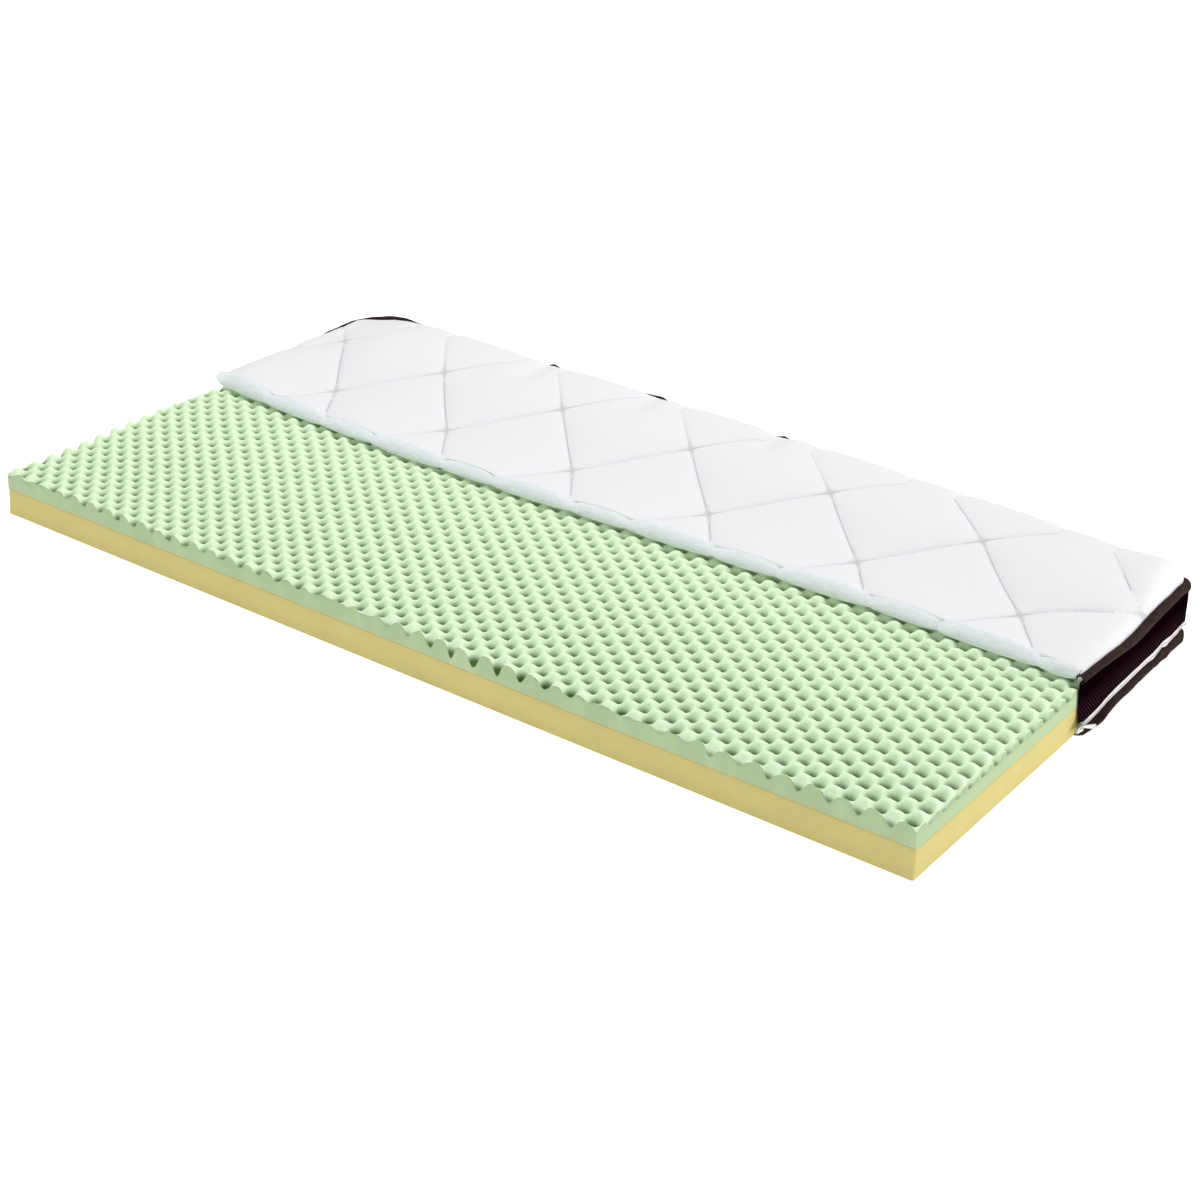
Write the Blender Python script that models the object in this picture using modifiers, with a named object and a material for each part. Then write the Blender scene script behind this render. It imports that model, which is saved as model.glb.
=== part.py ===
"""A mattress topper cut away along its middle, so that its layers show.

Metres, +Z up, the underside on z = 0. +X is the long way, +Y the half that still wears its cover.
"""

import math

import bmesh
import bpy
import numpy as np
from mathutils import Euler, Matrix, Vector

LENGTH = 2.0  # along X, of the foam
WIDTH = 0.97  # along Y, of the foam
GAP = 0.0003  # between pieces that touch

BASE_TOP = 0.055  # top of the yellow slab
CRATE_VALLEY = 0.067  # bottom of the pits
CRATE_PEAK = 0.095  # tips of the bumps
CRATE_PITCH_X = 0.0488
CRATE_PITCH_Y = 0.0433
CRATE_PIT = (0.1888, -0.2229)  # one pit, from which all the others are counted
CRATE_TILT = 0.01025  # the rows run this much off the long edge, in y per x
CRATE_EDGE_SLIVER = 0.002  # a row nearer to the cut than this moves in to here
CRATE_HIDDEN_FROM = 0.083  # past this y the cover hides the bumps, and the top is flat

COVER_LEFT = -1.035  # the emptier end of the cover hangs past the foam
COVER_RIGHT = 0.9927
BORDER_RIGHT = 1.0
BORDER_LEFT = COVER_LEFT - 0.0073
BORDER_BACK = 0.497  # y of the border's back side at its right end
BORDER_SKEW = 0.0335  # the cover lies a little turned: its back side moves off by this much per metre
CORNER_RIGHT = 0.013  # radius of the border's corner, close round the foam's
CORNER_LEFT = 0.045
CORNER_EASE = 0.012  # the panel's corners are rounder than the border's
BORDER_CUT_RIGHT = 0.035  # y of the border's cut end at the top
BORDER_CUT_LEFT = 0.170
BORDER_CUT_LEAN = 0.024  # the cut end leans back by this much from the top to the floor
BORDER_HEIGHT = 0.12
DRAWN_IN = 0.025  # above the foam the right back corner is pulled forward by this much
DRAWN_FROM = 0.0955  # the height where that starts

QUILT_STEPS = 6  # cells of the grid to half a diamond
QUILT_X = 0.1603  # half a diamond's length
QUILT_AT = (-0.780, 0.189)  # a crossing of two stitch lines, in the front row of crossings
# Half a diamond's width before the front row, up to the second row, and up to the third: right and left.
QUILT_ROWS = ((0.220, 0.220), (0.165, 0.175), (0.134, 0.184))
STITCH_TOP = 0.110  # height of a stitch line near the cut
PUFF_RISE = 0.016  # how far the middle of a diamond stands above its stitch lines
BACK_RISE = 0.056  # the cover stands up towards its back
SEAM_DROP = 0.014  # the panel meets the tape this far below its upper edge
EDGE_ROUND = 0.055  # the width over which the panel's borders come down
EDGE_STEPS = (0.0, 0.004, 0.014, 0.030)  # distances from the border at which it is drawn
PANEL_THICK = 0.0015  # the plain bottom panel
PANEL_FRONT = 0.055  # its cut edge

# The cut line of the quilted panel: x and y.
CUT_LINE = (
    (-1.035, 0.130),
    (-1.000, 0.095),
    (-0.900, 0.081),
    (-0.700, 0.066),
    (-0.450, 0.052),
    (-0.150, 0.051),
    (0.050, 0.055),
    (0.300, 0.059),
    (0.600, 0.065),
    (0.850, 0.058),
    (0.993, 0.051),
)
# The border, followed from its cut end on the right, past the back, to its cut end on the left:
# metres along it, zip's lower and upper edge, how far the lower strip bulges, tape's lower and upper edge.
BORDER = (
    (0.000, 0.0150, 0.0290, -0.002, 0.1000, 0.1220),
    (0.045, 0.0150, 0.0300, 0.004, 0.0990, 0.1230),
    (0.080, 0.0180, 0.0320, 0.006, 0.0980, 0.1205),
    (0.130, 0.0210, 0.0340, 0.004, 0.0972, 0.1170),
    (0.185, 0.0250, 0.0370, 0.002, 0.0975, 0.1195),
    (0.245, 0.0290, 0.0410, 0.001, 0.0990, 0.1260),
    (0.295, 0.0290, 0.0430, 0.001, 0.1010, 0.1290),
    (0.325, 0.0275, 0.0460, 0.002, 0.1030, 0.1320),
    (0.355, 0.0320, 0.0465, 0.001, 0.1060, 0.1345),
    (0.385, 0.0295, 0.0470, 0.001, 0.1080, 0.1355),
    (0.415, 0.0330, 0.0460, 0.000, 0.1080, 0.1340),
    (0.470, 0.0300, 0.0430, 0.000, 0.1060, 0.1310),
    (0.560, 0.0300, 0.0430, 0.001, 0.1070, 0.1360),
    (1.000, 0.0300, 0.0430, 0.002, 0.1100, 0.1440),
    (1.500, 0.0300, 0.0430, 0.002, 0.1120, 0.1450),
    (2.100, 0.0300, 0.0430, 0.002, 0.1120, 0.1450),
    (2.250, 0.0300, 0.0430, 0.002, 0.1160, 0.1500),
    (2.420, 0.0300, 0.0430, 0.002, 0.1160, 0.1490),
    (2.530, 0.0300, 0.0430, 0.002, 0.1080, 0.1320),
    (2.620, 0.0300, 0.0430, 0.002, 0.0900, 0.1140),
    (2.930, 0.0300, 0.0430, 0.002, 0.0860, 0.1100),
)

SLIDER_SIZE = (0.007, 0.024, 0.016)
PULL_SIZE = (0.0022, 0.054, 0.0080)
PULL_FROM = (1.0151, 0.0480, 0.0280)  # its end at the slider
PULL_TURN = (-0.34, 0.0, -0.08)  # it dips to the floor and stands off the border
PULL_HOLE = 0.0016  # radius

FOAM_YELLOW = ("foam_yellow", "e8cf8c", 0.95)
FOAM_GREEN = ("foam_green", "cfe8bd", 0.95)
KNIT_WHITE = ("knit_white", "f0f0f4", 0.9)
TAPE_BROWN = ("tape_brown", "3a2c2a", 0.85)
MESH_BROWN = ("mesh_brown", "241317", 0.9)
ZIP_WHITE = ("zip_white", "ece6e8", 0.55)
SLIDER_WHITE = ("slider_white", "f2f2f0", 0.35)
PANEL_WHITE = ("panel_white", "e9e9ec", 0.9)


def clear_scene():
    for old in list(bpy.data.objects):
        bpy.data.objects.remove(old, do_unlink=True)


def linear(hex_colour):
    """The Principled base colour for an sRGB hex colour."""
    shares = [int(hex_colour[i : i + 2], 16) / 255 for i in (0, 2, 4)]
    return [c / 12.92 if c <= 0.04045 else ((c + 0.055) / 1.055) ** 2.4 for c in shares] + [1.0]


def material(look):
    name, colour, roughness = look
    made = bpy.data.materials.get(name) or bpy.data.materials.new(name)
    made.use_nodes = True
    shader = made.node_tree.nodes["Principled BSDF"]
    shader.inputs["Base Color"].default_value = linear(colour)
    shader.inputs["Roughness"].default_value = roughness
    shader.inputs["Metallic"].default_value = 0.0
    return made


def add_object(parts, name, shape, look, smooth_below=40):
    """Turns a closed bmesh into a named object with its material, shaded smooth but for its sharp edges."""
    mesh = bpy.data.meshes.new(name)
    bmesh.ops.triangulate(shape, faces=[f for f in shape.faces if len(f.verts) > 3])
    bmesh.ops.recalc_face_normals(shape, faces=shape.faces)
    shape.to_mesh(mesh)
    shape.free()
    mesh.shade_smooth()
    mesh.set_sharp_from_angle(angle=math.radians(smooth_below))
    mesh.materials.append(material(look))
    solid = bpy.data.objects.new(name, mesh)
    parts.objects.link(solid)
    return solid


def add_block(collection, name, size, place, turn=(0.0, 0.0, 0.0)):
    """A box of this size, with its middle at this place."""
    bpy.ops.mesh.primitive_cube_add(size=1.0)
    block = bpy.context.object
    block.name = name
    block.data.transform(Matrix.Diagonal((*size, 1.0)))
    block.location = place
    block.rotation_euler = turn
    move_to(collection, block)
    return block


def move_to(collection, item):
    for old in list(item.users_collection):
        old.objects.unlink(item)
    collection.objects.link(item)


def add_cut(solid, cutter):
    """Cuts one object with another, which stays as a hidden guide."""
    cutter.display_type = "WIRE"
    cutter.hide_render = True
    cut = solid.modifiers.new(cutter.name, "BOOLEAN")
    cut.object = cutter
    cut.operation = "DIFFERENCE"
    cut.solver = "EXACT"


def add_loft(parts, name, rings, look, falls=None):
    """Skins closed rings of equally many points, and caps both ends.

    falls(i, k) says which way the diagonal of the cell after ring i and point k goes.
    """
    shape = bmesh.new()
    rings = [[shape.verts.new(point) for point in ring] for ring in rings]
    shape.faces.new(rings[0])
    shape.faces.new(rings[-1])
    for i, (ring, after) in enumerate(zip(rings, rings[1:])):
        for k in range(len(ring)):
            a, b = ring[k], ring[(k + 1) % len(ring)]
            c, d = after[(k + 1) % len(ring)], after[k]
            if falls and falls(i, k):
                cells = ((a, b, d), (b, c, d))
            else:
                cells = ((a, b, c), (a, c, d))
            for cell in cells:
                shape.faces.new(cell)
    return add_object(parts, name, shape, look)


def crate_height(x, y):
    """The egg-crate's surface: pits on a lattice of staggered rows, with high saddles between them."""
    u = (x - CRATE_PIT[0]) / CRATE_PITCH_X
    v = (y - CRATE_PIT[1] - CRATE_TILT * (x - CRATE_PIT[0])) / CRATE_PITCH_Y
    share = (1 - math.cos(2 * math.pi * u) * math.cos(2 * math.pi * v)) / 2
    return CRATE_VALLEY + (CRATE_PEAK - CRATE_VALLEY) * share**0.55


def crate_columns():
    """x of the grid's columns: both ends and every half pitch between them."""
    half = CRATE_PITCH_X / 2
    first = math.ceil((-LENGTH / 2 - CRATE_PIT[0]) / half + 0.1)
    last = math.floor((LENGTH / 2 - CRATE_PIT[0]) / half - 0.1)
    inner = [CRATE_PIT[0] + half * i for i in range(first, last + 1)]
    return [-LENGTH / 2] + inner + [LENGTH / 2]


def crate_row_y(x, j, rows, first):
    """y of the grid's row j at x: the front cut, the lattice's rows from number first on, and the back."""
    front = -WIDTH / 2
    if j in (0, rows):
        return front if j == 0 else WIDTH / 2
    row = CRATE_PIT[1] + CRATE_TILT * (x - CRATE_PIT[0]) + CRATE_PITCH_Y / 2 * (first + j - 1)
    return max(row, front + CRATE_EDGE_SLIVER)


def add_foam_crate(parts):
    """The green layer: a grid that follows the lattice, so that every pit and tip is a point of it."""
    first = round((-WIDTH / 2 - CRATE_PIT[1]) / CRATE_PITCH_Y * 2)
    bumpy = math.ceil((CRATE_HIDDEN_FROM - CRATE_PIT[1]) / CRATE_PITCH_Y * 2) - first + 1
    columns = crate_columns()
    rows = bumpy + 2
    shape = bmesh.new()
    bmesh.ops.create_grid(shape, x_segments=len(columns) - 1, y_segments=rows, size=1.0)
    for corner in shape.verts:
        x = columns[round((corner.co.x + 1) / 2 * (len(columns) - 1))]
        j = round((corner.co.y + 1) / 2 * rows)
        y = crate_row_y(x, j, rows, first)
        corner.co = (x, y, CRATE_PEAK if j > bumpy else crate_height(x, y))
    hidden_y = crate_row_y(LENGTH / 2, bumpy, rows, first) + 0.001
    saddles = [face for face in shape.faces if face.calc_center_median().y < hidden_y]
    for middle in bmesh.ops.poke(shape, faces=saddles)["verts"]:
        middle.co.z = crate_height(middle.co.x, middle.co.y)
    rim = [edge for edge in shape.edges if edge.is_boundary]
    lower = bmesh.ops.extrude_edge_only(shape, edges=rim)["geom"]
    for corner in lower:
        if isinstance(corner, bmesh.types.BMVert):
            corner.co.z = BASE_TOP + GAP
    open_edges = [edge for edge in shape.edges if edge.is_boundary]
    bmesh.ops.contextual_create(shape, geom=open_edges)
    plain = [face for face in shape.faces if abs(face.normal.z) < 0.01 or len(face.verts) > 4]
    plain_edges = {edge for face in plain for edge in face.edges}
    plain_corners = {corner for face in plain for corner in face.verts}
    bmesh.ops.dissolve_limit(
        shape, angle_limit=math.radians(0.1), verts=list(plain_corners), edges=list(plain_edges)
    )
    return add_object(parts, "foam_crate", shape, FOAM_GREEN, 60)


def add_foam_base(parts, cutters):
    """The yellow slab, with a shallow step underneath for the cover's bottom panel."""
    slab = add_block(parts, "foam_base", (LENGTH, WIDTH, BASE_TOP), (0.0, 0.0, BASE_TOP / 2))
    slab.data.materials.append(material(FOAM_YELLOW))
    panel_from = PANEL_FRONT - GAP
    step = PANEL_THICK + GAP
    size = (LENGTH + 0.1, WIDTH, 2 * step)
    add_cut(slab, add_block(cutters, "panel_step", size, (0.0, panel_from + WIDTH / 2, 0.0)))
    return slab


def cut_y(x):
    xs, ys = zip(*CUT_LINE)
    return float(np.interp(x, xs, ys))


def ease(share):
    """A step from 0 to 1 with level ends."""
    share = min(max(share, 0.0), 1.0)
    return share * share * (3 - 2 * share)


def quilt_place(u, v):
    """Where the quilt's net, in half diamonds, lies on the cover. It is drawn in at the right end."""
    pull = math.exp(-(((u - 11.0) / 1.2) ** 2) - ((v - 2.0) / 0.7) ** 2)
    to_left = ease((9.0 - u) / 6.0)
    before, second, third = [right + (left - right) * to_left for right, left in QUILT_ROWS]
    y = QUILT_AT[1] + before * min(v - 1, 0.0) + second * min(max(v - 1, 0.0), 1.0)
    y += third * max(v - 2, 0.0) - 0.054 * pull
    y += 0.02 * ease((1.5 - u) / 2.5) * v * (1 - 0.7 * max(v - 2, 0.0))
    return QUILT_AT[0] + QUILT_X * u + 0.010 * pull, y


def quilt_puff(u, v):
    """0 on a stitch line, 1 in the middle of a diamond."""
    across = abs(math.sin(math.pi * (u + v - 1) / 2) * math.sin(math.pi * (u - v + 1) / 2))
    return across**0.5


def border_back(x):
    """y of the border's back side, before its corners are rounded."""
    return BORDER_BACK + BORDER_SKEW * (BORDER_RIGHT - x)


def back_y(x):
    """The back edge of the quilted panel, with its rounded corners."""
    to_end, radius = min((COVER_RIGHT - x, CORNER_RIGHT), (x - COVER_LEFT, CORNER_LEFT))
    radius += CORNER_EASE
    inset = radius - min(to_end, radius)
    straight = border_back(x) - 0.0073 - drawn_in(x, BORDER_BACK)
    return straight - radius + math.sqrt(radius**2 - inset**2)


def drawn_in(x, y):
    """How far the top of the border is pulled forward here."""
    along_back = min(max((x - 0.2) / 0.7, 0.0), 1.0)
    return DRAWN_IN * along_back * ease((y - 0.33) / 0.12)


def along_border(x, y):
    """Roughly how far along the border its nearest point lies."""
    if COVER_RIGHT - x < back_y(x) - y and x > 0:
        return y - BORDER_CUT_RIGHT
    if x - COVER_LEFT < back_y(x) - y and x < 0:
        return 2.50 + border_back(x) - y
    return 0.47 + BORDER_RIGHT - x


def border_at(s):
    """zip_low, zip_high, bulge, tape_low, tape_high at this distance along the border."""
    columns = list(zip(*BORDER))
    return [float(np.interp(s, columns[0], column)) for column in columns[1:]]


def to_border(x, y):
    return min(COVER_RIGHT - x, x - COVER_LEFT, back_y(x) - y)


def cover_top_z(x, y, puff):
    """The quilted face: puffs on a slope that rises to the back, coming down to the tape at the border."""
    seam = border_at(along_border(x, y))[4] - SEAM_DROP
    corner = math.exp(-(((x + 0.80) / 0.14) ** 2) - ((y - 0.52) / 0.12) ** 2)
    left = ease((-x - 0.80) / 0.20)
    crown = STITCH_TOP + BACK_RISE * ease((y - 0.15) / 0.35) * (1 - 0.5 * left) + 0.010 * left
    crown += PUFF_RISE * (1 - 0.4 * ease((y - 0.30) / 0.14)) * puff + 0.008 * corner
    share = min(max(to_border(x, y) / EDGE_ROUND, 0.0), 1.0)
    return seam + (crown - seam) * math.sqrt(1 - (1 - share) ** 2)


def cover_under_z(x, y, puff):
    """The side that rests on the bumps: it rises at the stitch lines near the cut, and to the tape."""
    near_cut = ease(1 - (y - cut_y(x)) / 0.06)
    tape_low = border_at(along_border(x, y))[3]
    at_tape = ease(1 - to_border(x, y) / 0.04)
    return CRATE_PEAK + GAP + 0.008 * (1 - puff) * near_cut + max(tape_low - 0.0972, 0) * at_tape


def held_x(x, i, first, last):
    """x of a point of cross-section i: the outer cross-sections keep set distances from the border."""
    steps = len(EDGE_STEPS)
    if i - first < steps:
        return COVER_LEFT + EDGE_STEPS[i - first]
    if last - i < steps:
        return COVER_RIGHT - EDGE_STEPS[last - i]
    return min(max(x, COVER_LEFT + 0.04), COVER_RIGHT - 0.04)


def cover_ring(i, first, last):
    """One cross-section of the quilted panel: back to front underneath, up the cut face, then back."""
    u = i / QUILT_STEPS
    rows = [k / QUILT_STEPS for k in range(3, 17)]
    cut_x = held_x(quilt_place(u, 0.4)[0], i, first, last)
    cut_u = (cut_x - QUILT_AT[0]) / QUILT_X
    puff = quilt_puff(cut_u, 1 + (cut_y(cut_x) - QUILT_AT[1]) / QUILT_ROWS[0][0])
    front = cut_y(cut_x) + 0.010 * (1 - puff) ** 2
    top = [(cut_x, front + 0.005, cover_top_z(cut_x, front, puff) - 0.003)]
    for n, v in enumerate(rows):
        net_x, y = quilt_place(u, v)
        x = held_x(net_x, i, first, last)
        y = min(max(y, front + 0.010 + 0.006 * n), back_y(x) - 0.045 - 0.006 * (len(rows) - n))
        top.append((x, y, cover_top_z(x, y, quilt_puff(u + (x - net_x) / QUILT_X, v))))
    puff = quilt_puff(u + (x - net_x) / QUILT_X, rows[-1] + 0.2)
    for step in reversed(EDGE_STEPS):
        top.append((x, back_y(x) - step, cover_top_z(x, back_y(x) - step, puff)))
    low = cover_under_z(cut_x, front, quilt_puff(cut_u, 0.4))
    under = [(x, back_y(x), cover_under_z(x, back_y(x), 1.0))]
    for y in (front + 0.25, front + 0.06):
        under.append((cut_x, y, cover_under_z(cut_x, y, 1.0)))
    under.append((cut_x, front + 0.003, low))
    face = [(cut_x, front - 0.004, (low + top[0][2]) / 2)]
    return under + face + top


def add_cover_top(parts):
    first = math.floor((COVER_LEFT - QUILT_AT[0]) / QUILT_X * QUILT_STEPS) - 1
    last = math.ceil((COVER_RIGHT - QUILT_AT[0]) / QUILT_X * QUILT_STEPS) + 1
    rings = [cover_ring(i, first, last) for i in range(first, last + 1)]
    full = 2 * QUILT_STEPS

    def along_stitches(i, k):
        """Puts each cell's diagonal along the nearer stitch line."""
        u, v = i + first, k - 3
        falling = abs((u + v + 1) % full - QUILT_STEPS)
        rising = abs((u - v) % full - QUILT_STEPS)
        return falling <= rising

    return add_loft(parts, "cover_top", rings, KNIT_WHITE, along_stitches)


def border_corner(centre_x, radius, start, end):
    """Stations round one back corner, between these two directions of the outward normal."""
    centre_y = border_back(centre_x) - radius / math.cos(math.atan(BORDER_SKEW))
    angles = [start + (end - start) * share / 4 for share in range(5)]
    return [(centre_x + radius * math.cos(a), centre_y + radius * math.sin(a), a) for a in angles]


def border_path():
    """(x, y, outward normal, metres along) of each station of the border."""
    back = math.pi / 2 - math.atan(BORDER_SKEW)
    right = [BORDER_CUT_RIGHT, 0.08, 0.115, 0.165, 0.22, 0.28, 0.33, 0.36, 0.39, 0.42, 0.45]
    places = [(BORDER_RIGHT, y, 0.0) for y in right]
    places += border_corner(BORDER_RIGHT - CORNER_RIGHT, CORNER_RIGHT, 0.0, back)
    places += [(x, border_back(x), back) for x in (0.90, 0.6, 0.2, -0.2, -0.6, -0.78, -0.92)]
    places += border_corner(BORDER_LEFT + CORNER_LEFT, CORNER_LEFT, back, math.pi)
    places += [(BORDER_LEFT, y, math.pi) for y in (0.44, 0.32, BORDER_CUT_LEFT)]
    stations = []
    along = 0.0
    for n, (x, y, angle) in enumerate(places):
        if n:
            along += math.hypot(x - places[n - 1][0], y - places[n - 1][1])
        stations.append((x, y, angle, along))
    return stations


def add_border_piece(parts, name, section, look):
    """Sweeps section(s) round the border: it gives (outwards, height) points for the distance s."""
    stations = border_path()
    rings = []
    for n, (x, y, angle, s) in enumerate(stations):
        out = (math.cos(angle), math.sin(angle))
        ring = []
        for o, z in section(s):
            shift = -drawn_in(x, y) * ease((z - DRAWN_FROM) / 0.008)
            if n in (0, len(stations) - 1):
                shift += BORDER_CUT_LEAN * max(1 - z / BORDER_HEIGHT, 0.0)
            ring.append((x + out[0] * o, y + out[1] * o + shift, z))
        rings.append(ring)
    return add_loft(parts, name, rings, look)


def tape_section(s):
    """The binding tape over the top seam, rolled outwards."""
    low, high = border_at(s)[3:]
    middle = (low + high) / 2
    return (
        (-0.0070, low + 0.0005),
        (0.0040, low),
        (0.0095, low + 0.005),
        (0.0112, middle),
        (0.0095, high - 0.004),
        (0.0040, high),
        (-0.0030, high - 0.001),
        (-0.0070, high - 0.006),
    )


def band_section(s):
    """The mesh band, sucked in under the tape and standing out at the zip."""
    low = border_at(s)[1] + GAP
    high = border_at(s)[3] - GAP
    middle = min(DRAWN_FROM, high - 0.002)
    return ((0.0022, low), (0.0046, low), (0.0036, middle), (0.0030, high), (0.0005, high), (0.0008, middle))


def zip_section(s):
    """Two tapes with the coil standing out along their middle."""
    low, high = border_at(s)[:2]
    middle = (low + high) / 2
    return (
        (0.0010, low),
        (0.0040, low),
        (0.0045, middle - 0.003),
        (0.0062, middle),
        (0.0045, middle + 0.003),
        (0.0040, high),
        (0.0010, high),
    )


def strip_section(s):
    """The lower strip, turned under at the floor."""
    zip_low, _, bulge = border_at(s)[:3]
    high = zip_low - GAP
    return (
        (0.0026, 0.0),
        (0.0040 + bulge, 0.0),
        (0.0062 + bulge, 0.003),
        (0.0060 + bulge, 0.5 * high),
        (0.0040 + 0.5 * bulge, high),
        (0.0010, high),
        (0.0010, 0.006),
        (0.0026, 0.0022),
    )


def add_cover_bottom(parts):
    """The plain panel on the floor, inside the lower strip: a flat outline with a thickness."""
    out = 0.0023
    outline = [(BORDER_RIGHT + out, PANEL_FRONT)]
    for x, y, angle, _ in border_path()[1:-1]:
        outline.append((x + math.cos(angle) * out, y + math.sin(angle) * out))
    outline += [(BORDER_LEFT - out, BORDER_CUT_LEFT + BORDER_CUT_LEAN), (-0.97, PANEL_FRONT)]
    shape = bpy.data.curves.new("cover_bottom", "CURVE")
    shape.dimensions = "2D"
    shape.fill_mode = "BOTH"
    shape.extrude = PANEL_THICK / 2
    line = shape.splines.new("POLY")
    line.points.add(len(outline) - 1)
    for point, (x, y) in zip(line.points, outline):
        point.co = (x, y, 0.0, 1.0)
    line.use_cyclic_u = True
    shape.materials.append(material(PANEL_WHITE))
    panel = bpy.data.objects.new("cover_bottom", shape)
    panel.location.z = PANEL_THICK / 2
    parts.objects.link(panel)
    return panel


def add_rounded_block(parts, name, size, place, turn, rounding):
    block = add_block(parts, name, size, place, turn)
    block.data.materials.append(material(SLIDER_WHITE))
    block.data.shade_smooth()
    edges = block.modifiers.new("rounding", "BEVEL")
    edges.width = rounding
    edges.segments = 2
    return block


def add_slider(parts):
    """The slider's body, on the zip's cut end."""
    low, high = border_at(0.0)[:2]
    place = (BORDER_RIGHT + 0.0066 + SLIDER_SIZE[0] / 2, 0.048, (low + high) / 2 + 0.004)
    return add_rounded_block(parts, "zip_slider", SLIDER_SIZE, place, (0.0, 0.0, 0.0), 0.0018)


def add_pull(parts, cutters):
    """The flat pull, from the slider out over the lower strip, with a hole in its end."""
    reach = Euler(PULL_TURN).to_matrix() @ Vector((0.0, PULL_SIZE[1] / 2, 0.0))
    place = Vector(PULL_FROM) + reach
    pull = add_rounded_block(parts, "zip_pull", PULL_SIZE, place, PULL_TURN, 0.0009)
    bpy.ops.mesh.primitive_cylinder_add(vertices=16, radius=PULL_HOLE, depth=0.02)
    hole = bpy.context.object
    hole.name = "pull_hole"
    move_to(cutters, hole)
    hole.parent = pull
    hole.location = (0.0, PULL_SIZE[1] / 2 - 0.0050, 0.0)
    hole.rotation_euler = (0.0, math.pi / 2, 0.0)
    add_cut(pull, hole)
    return pull


def new_collection(name):
    made = bpy.data.collections.new(name)
    bpy.context.scene.collection.children.link(made)
    return made


def build():
    clear_scene()
    parts = new_collection("mattress_topper")
    cutters = new_collection("cutters")
    cutters.hide_render = True
    add_foam_base(parts, cutters)
    add_foam_crate(parts)
    add_cover_top(parts)
    add_border_piece(parts, "binding_top", tape_section, TAPE_BROWN)
    add_border_piece(parts, "border_band", band_section, MESH_BROWN)
    add_border_piece(parts, "zip_chain", zip_section, ZIP_WHITE)
    add_border_piece(parts, "border_strip", strip_section, TAPE_BROWN)
    add_cover_bottom(parts)
    add_slider(parts)
    add_pull(parts, cutters)


build()
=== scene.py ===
import math
from functools import partial

import bmesh
import bpy
import numpy as np
from bpy.props import FloatProperty, FloatVectorProperty, PointerProperty
from bpy.types import Operator, Panel, PropertyGroup
from mathutils import Euler, Matrix, Vector, noise


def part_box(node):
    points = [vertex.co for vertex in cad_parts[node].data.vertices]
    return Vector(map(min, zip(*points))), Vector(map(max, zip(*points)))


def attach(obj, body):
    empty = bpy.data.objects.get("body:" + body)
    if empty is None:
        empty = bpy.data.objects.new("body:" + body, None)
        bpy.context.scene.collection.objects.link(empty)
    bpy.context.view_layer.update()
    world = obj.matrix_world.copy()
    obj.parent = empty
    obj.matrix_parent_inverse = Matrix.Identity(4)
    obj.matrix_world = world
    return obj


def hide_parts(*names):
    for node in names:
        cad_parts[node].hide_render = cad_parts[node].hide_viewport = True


bl_info = {
    "name": "Cut-away mattress topper",
    "version": (1, 0, 0),
    "blender": (4, 5, 0),
    "location": "View3D > Sidebar > Topper",
    "description": "Foam layers, quilted cover, border and zip of a mattress topper that is cut open",
    "category": "Object",
}

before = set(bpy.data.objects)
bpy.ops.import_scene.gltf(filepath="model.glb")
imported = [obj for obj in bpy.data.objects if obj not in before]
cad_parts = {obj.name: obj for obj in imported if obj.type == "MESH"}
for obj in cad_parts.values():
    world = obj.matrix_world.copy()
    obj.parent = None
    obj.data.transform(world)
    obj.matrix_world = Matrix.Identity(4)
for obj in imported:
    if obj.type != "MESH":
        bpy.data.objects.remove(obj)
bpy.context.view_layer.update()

# Foam, from the packed solids.
FOAM_LOW, FOAM_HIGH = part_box("foam_base")
CRATE_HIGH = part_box("foam_crate")[1]
FRONT, BACK = FOAM_LOW.y, FOAM_HIGH.y
LEFT, RIGHT = FOAM_LOW.x, FOAM_HIGH.x
GAP = 0.0003  # between pieces that touch

CRATE_PIT = (0.1888, -0.2229)  # one pit, from which all the others are counted
CRATE_TILT = 0.01025  # the rows run this much off the long edge, in y per x
CRATE_FULLNESS = 2.2  # over 1, the saddles stand high and the pits are deep round holes
CRATE_MIDDLE = -0.24  # y of the middle row that shows
CRATE_BUMPY_TO = 0.125  # past this y the cover hides the bumps, and the top is flat
CRATE_COLUMNS = 484
CRATE_ROWS = 152
CRATE_CORNER = 0.003  # radius of its upright edges
CRATE_END = (0.083, 0.9)  # the right end stands at least this high, and falls this steeply inwards
CUT_CURL = 0.008  # the thin walls between the pits curl this far over the cut at the front
CUT_RAGGED = 0.005  # and stand this much higher or lower
CUT_EDGE = 0.014  # over this width
CUT_FILL = 0.014  # the pits along the cut are filled this high
CUT_FILL_WIDTH = 0.022  # over this width
# The foam's left end runs out by this much at the back, and by this much more at the floor.
SKEW_BACK = 0.028
SKEW_FLOOR = 0.010
SKEW_FROM = -0.55  # x where that starts
SKEW_OVER = 0.45  # metres over which it grows, along X and along Y
SAW_WAVER = 0.0007  # the slab's sides wander by up to this much

# The quilted cover.
COVER_LEFT = -1.035  # the emptier end of the cover hangs past the foam
COVER_RIGHT = 1.0005
BORDER_RIGHT = 1.0018
BORDER_LEFT = COVER_LEFT - 0.0073
BORDER_BACK = 0.497  # y of the border's back side at its right end
BORDER_SKEW = 0.0335  # the back side moves off by this much per metre
CORNER_RIGHT = 0.013  # radius of the border's corners
CORNER_LEFT = 0.045
BORDER_CUT_RIGHT = 0.035  # y of the border's cut ends
BORDER_CUT_LEFT = 0.170
BORDER_CUT_LEAN = 0.024  # the cut ends lean back by this much from the top to the floor
BORDER_HEIGHT = 0.12
DRAWN_IN = 0.020  # above the foam the right back corner is pulled forward by this much
DRAWN_FROM = 0.0955  # the height where that starts

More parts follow.
